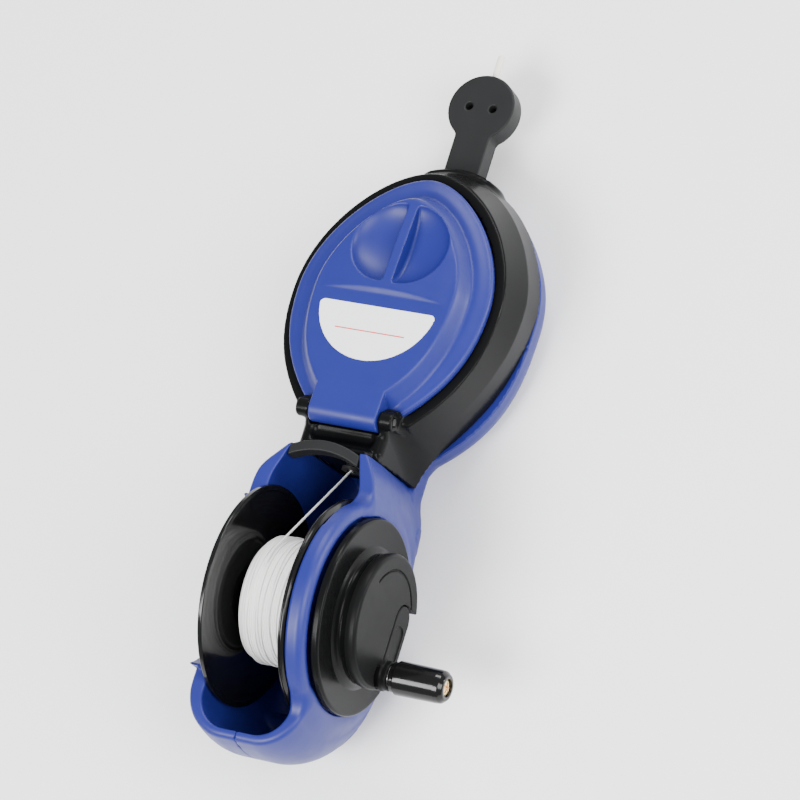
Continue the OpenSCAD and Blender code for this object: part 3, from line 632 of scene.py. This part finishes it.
def pot_outside(x, y, z, t, e_pot, e_mouth):
    """The creased wall from the seam to the mouth, and the neck with its saddle and bowl for the line."""
    ax = np.abs(x)
    over_rim = lid_local(y, z)[1] - POT_RIM
    foot = SEAM_Z - 0.02
    bulge = np.minimum(t / CREASE_AT, (1 - t) / (1 - CREASE_AT))
    bulge = CREASE_OUT * smooth(62, 100, y) * blended(bulge, np.full_like(bulge, 1.0), 0.05)
    wall = (1 - t) * e_pot + t * e_mouth - bulge
    wall = rmax(rmax(wall, over_rim, 0.7), foot - z, 0.1)
    end = END_Y + 0.05 + (RIM_Z - z) * END_LEAN - y
    neck = rmax(rmax(ax - NECK_W + 0.05, end, 0.25), np.maximum(y - 57.5, foot - z), 0.3)
    saddle = SADDLE_Z + SADDLE_LIP * smooth(45.8, 43.4, y) * smooth(11.0, 9.4, ax) + 1.5 * smooth(49.5, 53, y)
    neck = rmax(neck, z - saddle, 0.4 + 2.2 * smooth(43.4, 45.5, y))
    whole = rmin(wall, neck, 5)
    whole = rmax(rmax(whole, over_rim - 6 * smooth(62, 56, y), 0.5), foot - z, 0.1)
    bowl = rmax(np.hypot((z - BOWL_Z) / 1.8, y - BOWL_Y) - BOWL_R, ax - BOWL_W, 2.5)
    whole = rmax(whole, -bowl, 0.8)
    return rmax(whole, -np.maximum(from_hinge(y, z) - 4.1, ax - EAR_X + 2.1), 0.3)


def with_ears(whole, x, y, z):
    """The hinge's two ears, rounded over the pin and leaning back below it."""
    stem = np.abs(y - HINGE_Y - 0.6 + (z - HINGE_Z) * 0.18) - 2.9
    stem = np.maximum(stem, np.maximum(z - HINGE_Z, 29 - z))
    side_on = np.minimum(from_hinge(y, z) - EAR_R, stem)
    for side in (-1, 1):
        whole = rmin(whole, rmax(side_on, np.abs(x - side * EAR_X) - EAR_HALF, 0.35), 0.7)
    return whole


def with_nose(whole, x, y, z):
    """The collar at the far end, its mouth, and the socket for the anchor's stem."""
    collar = rounded_bar(x, COLLAR_W, z - ANCHOR_Z, COLLAR_HALF_Z, COLLAR_HALF_Z - 0.1)
    collar = rmax(rmax(collar, y - COLLAR_Y + 0.02 * x * x, 0.7), 124 - y, 0.5)
    whole = rmin(whole, np.maximum(collar, 9.2 - z), 2.2)
    mouth = rounded_bar(x, NOSE_MOUTH_W, z - ANCHOR_Z, NOSE_MOUTH_HALF_Z, NOSE_MOUTH_HALF_Z - 0.05)
    whole = rmax(whole, -rmax(mouth, NOSE_MOUTH_Y - y, 0.6), 0.45)
    socket = rounded_bar(x, SOCKET_W, z - ANCHOR_Z, SOCKET_HALF_Z, 0.3)
    return np.maximum(whole, -np.maximum(socket, SOCKET_Y - y))


def with_line_way(whole, x, y, z):
    """The eyelet's bore, the slanting fall behind it, and the nozzle's bore with a line hole before it."""
    whole = rmax(whole, -np.maximum(np.hypot(x, z - INLET_Z) - EYELET_BORE_R, np.abs(y - 46) - 5), 0.2)
    fall = np.hypot(x, ((y - FALL_Y) * FALL_SLOPE + z - FALL_Z) / math.hypot(FALL_SLOPE, 1))
    whole = np.maximum(whole, -np.maximum(fall - LINE_BORE_R, np.abs(y - 55.8) - 5.6))
    off_line = np.hypot(x, z - ANCHOR_Z)
    whole = np.maximum(whole, -np.maximum(off_line - NOZZLE_BORE_R, np.abs(y - 131) - 4))
    return np.maximum(whole, -np.maximum(off_line - LINE_BORE_R, np.abs(y - 124) - 5))


def pot_solid(x, y, z):
    """The pot over the seam, with a thin base below it and its posts, hollow and open at the top."""
    v, w = lid_local(y, z)
    rim_z = HINGE_Z + (POT_RIM - (y - HINGE_Y) * SIN) / COS
    t = np.clip((z - SEAM_Z) / (rim_z - SEAM_Z), -0.1, 1.2)
    e_pot, e_mouth = POT(x, y), MOUTH(x, v + HINGE_Y)
    whole = with_ears(pot_outside(x, y, z, t, e_pot, e_mouth), x, y, z)
    whole = with_nose(whole, x, y, z)
    floor_z = SEAM_Z - 0.05
    hollow = (1 - t) * (e_pot + POT_WALL) + t * (e_mouth + MOUTH_WALL)
    hollow = rmax(rmax(hollow, floor_z - z, 3), w - 1, 0.1)
    hollow = np.where(w > POT_RIM - 0.3, e_mouth + MOUTH_WALL, hollow)
    whole = rmax(whole, -np.maximum(hollow, floor_z - z), 0.6)
    base = rmax(np.maximum(TRAY(x, y) + 3.3, e_pot + 1.7), np.abs(z - BASE_MID_Z) - BASE_HALF_Z, 0.3)
    for px, py in POSTS:
        post = np.maximum(np.hypot(x - px, y - py) - POST_R, np.maximum(2.75 - z, z - 10))
        base = rmin(base, post, 0.5)
    whole = with_line_way(rmin(whole, base, 0.8), x, y, z)
    return np.maximum(whole, PIN_HOLE_R - from_hinge(y, z))


skinned("ink_pot", pot_solid, (-34, 39.3, 2.7), (34, 139, 47), 0.6, BLACK, "body", "black_plastic",
        "ink_pot")


def lip_solid(x, y, z):
    """The pot's matt bar over the line's way in, arched towards the pot, with its ends a little lower."""
    across = np.abs(y - END_Y - 0.1 + 0.021 * x * x) - LIP_HALF_Y
    height = np.abs(z - LIP_Z + 0.008 * x * x) - LIP_HALF_Z
    return np.maximum(rmax(rmax(across, np.abs(x) - LIP_W, 0.4), height, 0.4), y - END_Y - 1.8)


skinned("inlet_lip", lip_solid, (-11, 38, 40), (11, 44.5, 46.5), 0.3, GREY, "body", "black_plastic")

# ---------------------------------------------------------------- lid
# Places along the lid from its hinge are V, and heights over the hinge axis square to the lid are H
RIM_H, RIM_RISE = -1.75, 0.75
PLATEAU_MARGIN, PLATEAU_RISE = 1.7, 4.65
STEP_V, STEP_RISE, CROWN_HALF = 35.0, 0.95, 19.5
PLATE_UNDER_H = -4.1
HOLLOW_INSET, HOLLOW_H = 5.4, -1.9
STRAP_HALF, STRAP_R, STRAP_V = 10.5, 3.6, 9
DIMPLE_X, DIMPLE_V, DIMPLE_H = 2.6, 51.5, 5.0
DIMPLE_HALVES = (12.2, 12.3, 5.2)
WEB_HALF = 1.5
SEAL_OUT, SEAL_IN, SEAL_H, SEAL_HALF_H = 1.5, 3.4, -5.2, 1.1
LABEL_R, LABEL_HALF_T = 18.1, 0.16


def lid_top(x, v):
    """Height of the lid's face over its hinge axis: a rim, a plateau and a low crowned step on it."""
    inset = -LID(x, v + HINGE_Y)
    inner = PLATEAU_MARGIN - PLATEAU(x, v + HINGE_Y)
    rise = RIM_H + RIM_RISE * smooth(0.4, 4.2, inset) + PLATEAU_RISE * smooth(-0.5, 3.2, inner)
    crown = np.clip(1 - (x / CROWN_HALF) ** 2, 0, 1)
    step = smooth(0, 1, (v - STEP_V) / (0.5 + 1.9 * crown))
    return rise + STEP_RISE * step * crown * smooth(6.5, 10.5, inset) * (1 - 0.4 * smooth(44, 66, v))


def dimple(x, v, w, side):
    """Half of an ellipsoid for a finger, on one side of the web between the two."""
    offsets = x - side * DIMPLE_X, v - DIMPLE_V, w - DIMPLE_H
    share = np.sqrt(sum((d / half) ** 2 for d, half in zip(offsets, DIMPLE_HALVES)))
    slope = np.sqrt(sum((d / half ** 2) ** 2 for d, half in zip(offsets, DIMPLE_HALVES)))
    return rmax(share * (share - 1) / np.maximum(slope, 1e-4), WEB_HALF - side * x, 0.9)


def lid_solid(x, y, z):
    """The plate with its dimples, hollow below, and the strap with the knuckle round the pin."""
    v, w = lid_local(y, z)
    edge = LID(x, v + HINGE_Y)
    ax = np.abs(x)
    plate = rmax(rmax(edge, w - lid_top(x, v), 1.0), PLATE_UNDER_H - w, 0.4)
    tongue = np.maximum(np.maximum(w - STRAP_R, -2.2 - w), np.maximum(v - STRAP_V, -v))
    strap = np.minimum(tongue, np.hypot(v, w) - STRAP_R)
    whole = np.minimum(plate, rmax(strap, ax - STRAP_HALF, 0.45))
    for side in (-1, 1):
        whole = rmax(whole, -dimple(x, v, w, side), 0.4)
    whole = rmax(whole, -rmax(edge + HOLLOW_INSET, w - HOLLOW_H, 1.0), 0.4)
    whole = np.maximum(whole, PIN_HOLE_R - 0.03 - np.hypot(v, w))
    return rmax(whole, -np.maximum(np.maximum(ax - STRAP_HALF - 0.5, v - 3.8), w + 3.9), 0.2)


def seal_solid(x, y, z):
    """The ring that plugs the mouth."""
    v, w = lid_local(y, z)
    edge = LID(x, v + HINGE_Y)
    return rmax(rmax(edge + SEAL_OUT, -(edge + SEAL_IN), 0.4), np.abs(w - SEAL_H) - SEAL_HALF_H, 0.4)


def label_solid(x, y, z):
    """A thin film that lies on the lid's face, a disc cut off by a straight edge."""
    v, w = lid_local(y, z)
    outline = rmax(np.hypot(x, v - LABEL_V - 1.5) - LABEL_R, v - LABEL_V, 1.7)
    return rmax(outline, np.abs(w - lid_top(x, v) - 0.02) - LABEL_HALF_T, 0.08)


skinned("lid", lid_solid, (-31, 50, 24), (31, 131, 45), 0.5, BLUE, "cover", "blue_plastic", "lid")
skinned("lid_seal", seal_solid, (-29, 56, 24), (29, 129, 36), 0.45, RUBBER, "cover", "seal_rubber",
        "lid_seal")
skinned("lid_label", label_solid, (-18.6, 67, 34), (18.6, 88, 44), 0.25, label_material(), "cover", "label",
        "lid_label")

# ---------------------------------------------------------------- reel
FLANGE_T = 1.3
AXLE_BORE = 2.52
DRUM_R = 8.0
inner_left = -FLANGE_X + FLANGE_T
inner_right = FLANGE_X - FLANGE_T
drum_profile = filleted([
    (-FLANGE_X, AXLE_BORE, 0), (-FLANGE_X, FLANGE_R, 0.35), (inner_left, FLANGE_R, 0.3),
    (inner_left, FLANGE_R - 1.5, 0.15), (inner_left - 0.28, FLANGE_R - 1.8, 0.15),
    (inner_left - 0.28, 9.4, 0.8), (inner_left + 1.0, DRUM_R, 0.8), (inner_right - 0.05, DRUM_R, 0),
    (inner_right - 0.05, AXLE_BORE, 0)])
piece("spool_drum", *turned(drum_profile, seg=192), GLOSS, "reel", "gloss_black", "spool_drum")
# The right flange has a fine groove round its edge
flange_profile = filleted([
    (FLANGE_X, AXLE_BORE, 0), (inner_right, AXLE_BORE, 0), (inner_right, FLANGE_R - 1.8, 0.15),
    (inner_right, FLANGE_R, 0.3), (FLANGE_X - 0.75, FLANGE_R, 0.12), (FLANGE_X - 0.7, FLANGE_R - 0.3, 0.1),
    (FLANGE_X - 0.55, FLANGE_R - 0.3, 0.1), (FLANGE_X - 0.5, FLANGE_R, 0.12), (FLANGE_X, FLANGE_R, 0.3)])
piece("spool_right_flange", *flipped(turned(flange_profile, seg=192)), GLOSS, "reel", "gloss_black",
      "spool_right_flange")

# ---------------------------------------------------------------- line
CORE_R = 16.9
LINE_R = 0.35
LEAD_R = 18.5
LEAD_ANGLE = math.radians(53)


def wound(x0, x1, pitch, radius, wobble, phase, seg=64):
    """Centre line of turns wound from x0 to x1, which sag at the winding's two ends."""
    turns = abs(x1 - x0) / pitch
    s = np.linspace(0, 1, int(turns * seg))
    a = phase + s * turns * 2 * np.pi
    x = x0 + (x1 - x0) * s + wobble * np.sin(a * 0.37 + phase) * np.sin(a * 0.11)
    r = radius - 1.7 * (1 - smooth(-9.0, -6.2, x)) - 0.5 * (1 - smooth(11.4, 10.2, x))
    r = r + 0.05 * np.sin(a * 1.3 + phase) + 0.06 * np.sin(x * 2.1)
    return np.stack([x, r * np.cos(a), AXLE_Z + r * np.sin(a)], 1)


def resampled(points, n):
    """A route through the points with n even steps, its corners softened."""
    pts = np.array(points, float)
    s = np.concatenate([[0], np.cumsum(np.linalg.norm(np.diff(pts, axis=0), axis=1))])
    t = np.linspace(0, s[-1], n)
    out = np.stack([np.interp(t, s, pts[:, i]) for i in range(3)], 1)
    for _ in range(3):
        out[1:-1] = (out[:-2] + 2 * out[1:-1] + out[2:]) / 4
    return out


def twisted(route, radius, strands=3, pitch=1.9):
    """A line of twisted strands along a route."""
    t = np.gradient(route, axis=0)
    t /= np.linalg.norm(t, axis=1)[:, None]
    s = np.concatenate([[0], np.cumsum(np.linalg.norm(np.diff(route, axis=0), axis=1))])
    up = np.array([1.0, 0, 0])
    ups = []
    for d in t:
        up = up - d * (up @ d)
        up /= np.linalg.norm(up)
        ups.append(up)
    ups = np.array(ups)
    sides = np.cross(t, ups)
    out = []
    for k in range(strands):
        a = 2 * np.pi * (s / pitch + k / strands)
        offset = np.cos(a)[:, None] * ups + np.sin(a)[:, None] * sides
        out.append(tube(route + radius * 0.5 * offset, radius * 0.54, 6))
    return joined(out)


def on_winding(angle):
    """A point at the winding's surface, at an angle over the axle's +Y side."""
    return -3, LEAD_R * math.cos(angle), AXLE_Z + LEAD_R * math.sin(angle)


core = filleted([(-8.7, DRUM_R + 0.05, 0), (-8.7, 14.6, 0.8), (-6.4, CORE_R, 1.2), (10.8, CORE_R, 0.6),
                 (11.5, 16.2, 0.3), (11.5, DRUM_R + 0.05, 0)])
winding = joined([turned(core, seg=128),
                  tube(wound(-8.5, 11.2, 0.6, 17.2, 0.0, 0.3), 0.34, 7),
                  tube(wound(10.9, -8.2, 2.3, 17.6, 0.35, 1.9), 0.30, 7),
                  tube(wound(-8.2, 11.0, 3.7, 17.65, 0.3, 4.1), 0.30, 7)])
piece("line_winding", *winding, LINE, "reel", "white_line", "line_winding")

# The lead's route: off the winding, through the eyelet and down the fall to the wads
lead = [on_winding(LEAD_ANGLE + 0.35), on_winding(LEAD_ANGLE + 0.12), on_winding(LEAD_ANGLE),
        (-0.15, 41.4, 26.85), (0, 42.4, 26.1), (0, 44, 26), (0, 48.8, 26), (0, 49.8, 25.7), (0, 50.6, 25),
        (0, 60.6, 14.4), (0, 61.3, 13.6), (0, 62, 13.4)]
piece("line_lead", *twisted(resampled(lead, 260), LINE_R), LINE, "body", "white_line", "line_lead")
run = np.stack([np.zeros(180), np.linspace(62.2, 143.2, 180), np.full(180, ANCHOR_Z)], 1)
knot = [(0, 143, 13.4), (0.6, 143.5, 13.9), (0.7, 144.3, 13.2), (-0.2, 144.6, 12.7), (-0.7, 144, 13.3),
        (-0.2, 143.5, 14.1), (0.5, 143.8, 13.8), (0.1, 144.9, 13.4)]
piece("line_run", *joined([twisted(run, LINE_R), tube(resampled(knot, 60), 0.34, 8)]), LINE, "anchor",
      "white_line", "line_run")

# ---------------------------------------------------------------- crank
DISC_RIM_T = 2.3
CAP_R = 18.4
CAP_X0 = DISC_X + 5.45
NOTCH_Y, NOTCH_BELOW, NOTCH_R = -13.6, 5.4, 3.6
GROOVE_R, GROOVE_DEEP = 14.3, 0.35
ARM_W = 4.5
PANEL_HALF_Y, PANEL_HALF_Z = 5.2, 2.6
KNOB_R = 4.8
KNOB_BORE = 1.7
SCREW_R = 1.58
disc_profile = filleted([
    (DISC_X, AXLE_BORE, 0), (DISC_X, CRANK_R, 0.6), (DISC_X + DISC_RIM_T, CRANK_R, 0.9),
    (DISC_X + DISC_RIM_T, 19.9, 0.25), (DISC_X + 2.75, 19.2, 0.4), (DISC_X + 3.5, 17.7, 1.6),
    (CAP_X0, 17.9, 0.1), (CAP_X0, 5, 0.1), (DISC_X + 3.5, 5, 0.1), (DISC_X + 3.5, AXLE_BORE, 0)])
piece("crank_disc", *turned(disc_profile, seg=192), BLACK, "reel", "gloss_black", "crank_disc")


def slot_plan(y, z, half):
    """Signed distance to the arm's outline, a bar with round ends from the knob to the pivot."""
    return np.hypot(y - np.clip(y, KNOB_Y, ARM_Y), z - KNOB_Z) - half


def cap_solid(x, y, z):
    """The cap with the arm's pocket, a finger notch beside it and a shallow curved groove."""
    rr = np.hypot(y, z - AXLE_Z)
    cap = rmax(rmax(rr - CAP_R - 0.35 * smooth(CAP_X0, CAP_X0 + 1.8, x), x - CAP_FACE, 1.1), CAP_X0 - x, 0.3)
    pocket = np.minimum(slot_plan(y, z, ARM_W + 0.35),
                        np.maximum(np.maximum(z - KNOB_Z, y - ARM_Y - 4.6), -40 - y))
    notch = rmax(np.hypot(y - NOTCH_Y, z - AXLE_Z + NOTCH_BELOW) - NOTCH_R, y - NOTCH_Y - 2.1, 0.4)
    pocket = np.minimum(pocket, notch)
    cap = rmax(cap, -np.maximum(pocket, CAP_X0 + 0.05 - x), 0.3)
    groove = np.maximum(np.abs(rr - GROOVE_R) - 0.28, np.maximum(4.0 - y, z - AXLE_Z - 12))
    return rmax(cap, -np.maximum(groove, CAP_FACE - GROOVE_DEEP - x), 0.1)


def arm_solid(x, y, z):
    """The arm, level with the cap's face, with the knob's foot, a sunk panel and the pivot's recess."""
    bar = rmax(rmax(slot_plan(y, z, ARM_W), x - CAP_FACE - 0.02, 0.5), CAP_X0 + 0.15 - x, 0.2)
    knob = np.hypot(y - KNOB_Y, z - KNOB_Z)
    foot = rmax(rmax(knob - 4.15, x - KNOB_X0 + 0.5, 0.4), CAP_FACE - 1 - x, 0.1)
    bar = np.maximum(rmin(bar, foot, 0.4), SCREW_R + 0.04 - knob)
    middle_y = (ARM_Y + KNOB_Y) / 2 + 1
    panel = rmax(np.abs(z - KNOB_Z) - PANEL_HALF_Z, np.abs(y - middle_y) - PANEL_HALF_Y, 2.2)
    bar = rmax(bar, -rmax(panel, CAP_FACE - 0.3 - x, 0.1), 0.1)
    return np.maximum(bar, -np.maximum(np.hypot(y - ARM_Y, z - KNOB_Z) - 1.55, x - CAP_FACE + 0.9))


skinned("crank_cap", cap_solid, (CAP_X0, -19, AXLE_Z - 19), (CAP_FACE, 19, AXLE_Z + 19), 0.32, MATT, "reel",
        "matte_black", "crank_cap")
skinned("crank_arm", arm_solid, (CAP_X0, KNOB_Y - 5, KNOB_Z - 5), (KNOB_X0, ARM_Y + 5, KNOB_Z + 5), 0.25,
        MATT, "arm", "matte_black", "crank_arm")
knob_profile = filleted([
    (KNOB_X0, KNOB_BORE, 0), (KNOB_X0, 4.2, 0.3), (KNOB_X0 + 1.3, 4.2, 0.15), (KNOB_X0 + 1.6, KNOB_R, 0.3),
    (KNOB_X1 - 2.6, 4.65, 0.2), (KNOB_X1 - 1.2, 4.5, 1.2), (KNOB_X1, 3.5, 0.7), (KNOB_X1, 2.5, 0.2),
    (KNOB_X1 - 2, 2.5, 0.1), (KNOB_X1 - 2, KNOB_BORE, 0)])
piece("crank_knob", *turned(knob_profile, KNOB_Y, KNOB_Z, 96), GLOSS, "knob", "gloss_black", "crank_knob")


# ---------------------------------------------------------------- screws
def screw_head(r, h, step, shank=0.0, shank_r=1.45):
    """A domed head with a cross recess, its top at 0 along +X, on a shank if it has one."""
    wing, reach = 0.13 * r + 0.12, 0.62 * r

    def solid(x, y, z):
        rr = np.hypot(y, z)
        dome = rmax(rmax(np.sqrt((x + 2.6 * r) ** 2 + rr ** 2) - 2.6 * r, rr - r, 0.25), -h - x, 0.1)
        cross = np.minimum(np.maximum(np.abs(y) - wing, np.abs(z) - reach),
                           np.maximum(np.abs(z) - wing, np.abs(y) - reach))
        dome = rmax(dome, -np.maximum(cross, -0.75 - x), 0.07)
        if shank:
            dome = np.minimum(dome, rmax(np.maximum(rr - shank_r, -h - shank - x), x + h, 0.0))
        return dome

    return skin(solid, (-h - shank, -r, -r), (0.1, r, r), step)


def placed(head, centre, axis):
    """A screw head's points, quads and normals, moved to a centre and turned to face along an axis."""
    points, quads, normals = head
    axis = np.array(axis, float)
    other = np.array([0, 1.0, 0]) if abs(axis[1]) < 0.9 else np.array([1.0, 0, 0])
    turn = np.stack([axis, other, np.cross(axis, other)])
    return points @ turn + np.array(centre), quads, normals @ turn


def screws(name, spots, head):
    """Equal steel screws in the body as one piece, one at each (centre, axis)."""
    done = [placed(head, centre, axis) for centre, axis in spots]
    points, quads = joined([one[:2] for one in done])
    normals = np.concatenate([one[2] for one in done])
    return piece(name, points, quads, STEEL, "body", "steel", name, normals=normals)


knob_head = placed(screw_head(2.42, 1.5, 0.14), (KNOB_X1 - 0.25, KNOB_Y, KNOB_Z), (1, 0, 0))
stem_x0, stem_x1 = CAP_X0 + 0.3, KNOB_X1 - 1.8
stem_profile = filleted([(stem_x0, 0.01, 0), (stem_x0, SCREW_R, 0.2), (stem_x1, SCREW_R, 0),
                         (stem_x1, 0.01, 0)])
stem = turned(stem_profile, KNOB_Y, KNOB_Z, 48)
piece("knob_screw", *joined([knob_head[:2], stem]), BRASS, "arm", "brass", "knob_screw")
screws("body_screws", [((seat - 0.1, cy, cz), (-1, 0, 0)) for cy, cz, seat in CLAMPS],
       screw_head(2.8, 1.9, 0.2))
screws("pot_screws", [((px, py, 0.2), (0, 0, -1)) for px, py in POSTS], screw_head(2.8, 1.2, 0.2, 7.5))

# ---------------------------------------------------------------- anchor
EYE_X, EYE_R = 3.74, 1.15
KNOT_Y, KNOT_R = 144, 1.7
STEM_HALF = 5.45
LINE_HOLE_R, NEEDLE_HOLE_R = 0.55, 0.6
SLEEVE_R, SLEEVE_BORE, SLEEVE_END = 1.0, 0.56, 0.02


def anchor_solid(x, y, z):
    """A disc with a stem, two blind eyes, the needle's hole, and the line's hole and knot recess."""
    disc = np.hypot(x, y - ANCHOR_Y) - ANCHOR_R
    stem = np.maximum(np.abs(x) - STEM_HALF, np.maximum(y - ANCHOR_Y, ANCHOR_LO[1] - y))
    whole = rmax(rmin(disc, stem, 0.8), np.abs(z - ANCHOR_Z) - (ANCHOR_HI[2] - ANCHOR_LO[2]) / 2, 0.45)
    for side in (-1, 1):
        whole = rmax(whole, -np.maximum(np.hypot(x - side * EYE_X, y - ANCHOR_Y) - EYE_R, ANCHOR_Z - z), 0.3)
    off_line = np.hypot(x, z - ANCHOR_Z)
    whole = np.maximum(whole, -np.maximum(off_line - LINE_HOLE_R, y - KNOT_Y))
    whole = rmax(whole, -np.maximum(np.hypot(x, y - KNOT_Y) - KNOT_R, z - ANCHOR_Z - 1.3), 0.2)
    return np.maximum(whole, -np.maximum(off_line - NEEDLE_HOLE_R, ANCHOR_Y - y))


skinned("line_anchor", anchor_solid, ANCHOR_LO, ANCHOR_HI, 0.4, GREY, "anchor", "grey_plastic", "line_anchor")
sleeve_len = SLEEVE_TIP - ANCHOR_HI[1] - 0.1
along, faces = flipped(turned(filleted([
    (0.0, SLEEVE_BORE, 0), (0.0, SLEEVE_R, 0.15), (sleeve_len, SLEEVE_R, 0.6), (sleeve_len, SLEEVE_END, 0),
    (sleeve_len - 0.8, SLEEVE_END, 0), (sleeve_len - 0.8, SLEEVE_BORE, 0)]), 0.0, 0.0, 48))
sleeve = np.stack([along[:, 1], along[:, 0] + ANCHOR_HI[1] + 0.1, along[:, 2] + ANCHOR_Z], 1)
piece("needle_sleeve", sleeve, faces, IVORY, "sleeve", "ivory_plastic", "needle_sleeve")

# ---------------------------------------------------------------- nodes shown as their CAD shapes
CAD_SHAPES = {
    # The inlet eyelet's near-black metal is painted shade; the hinge pin is just dark metal.
    SHADED_DARK_METAL: ("hinge_pin", "inlet_eyelet"),
    FELT: ("lower_wad", "upper_wad"),
    BRASS: ("outlet_nozzle", "left_axle_bush", "right_axle_bush"),
    STEEL: ("drive_pin", "reel_axle", "thrust_washers", "axle_clip", "crank_screw", "arm_pivot_pin",
            "knob_washer", "anchor_needle")}
for mat, names in CAD_SHAPES.items():
    for name in names:
        shape = frame["nodes"][name].data
        shape.materials.clear()
        shape.materials.append(mat)

# ---------------------------------------------------------------- floor and light
# These sizes and places are in metres, and the powers in watts
FLOOR_HALF, FLOOR_Z = 3, -0.0004
DAYLIGHT = 0.6
FLOOR = material("floor_board", (0.95, 0.95, 0.95), 0.9, vary=0.01, bump=0.05, grain=2.0)
board = bpy.data.meshes.new("floor")
corners = [(sx * FLOOR_HALF, sy * FLOOR_HALF, FLOOR_Z) for sx, sy in ((-1, -1), (1, -1), (1, 1), (-1, 1))]
board.from_pydata(corners, [], [(0, 1, 2, 3)])
board.materials.append(FLOOR)
floor = bpy.data.objects.new("floor", board)
scene.collection.objects.link(floor)

world = bpy.data.worlds.new("studio")
scene.world = world
world.use_nodes = True
world.node_tree.nodes["Background"].inputs["Color"].default_value = (1, 1, 1, 1)
world.node_tree.nodes["Background"].inputs["Strength"].default_value = DAYLIGHT


def softbox(name, place, aim, size, power):
    """A rectangular area light at a place, facing the point that it aims at."""
    light = bpy.data.lights.new(name, "AREA")
    light.shape = "RECTANGLE"
    light.size, light.size_y = size
    light.energy = power
    ob = bpy.data.objects.new(name, light)
    scene.collection.objects.link(ob)
    ob.location = place
    ob.rotation_mode = "QUATERNION"
    ob.rotation_quaternion = (Vector(aim) - Vector(place)).to_track_quat("-Z", "Y")


MIDDLE = (0, 0.06, 0.03)
softbox("key", place=(-0.25, -0.6, 0.95), aim=MIDDLE, size=(0.6, 0.5), power=24)
softbox("fill", place=(0.75, -0.1, 0.75), aim=MIDDLE, size=(0.5, 0.6), power=12)
softbox("back", place=(0.1, 0.95, 0.7), aim=MIDDLE, size=(0.9, 0.3), power=13)
softbox("strip", place=(0.85, 0.48, 0.14), aim=(0.03, 0.1, 0.02), size=(0.12, 0.24), power=5)
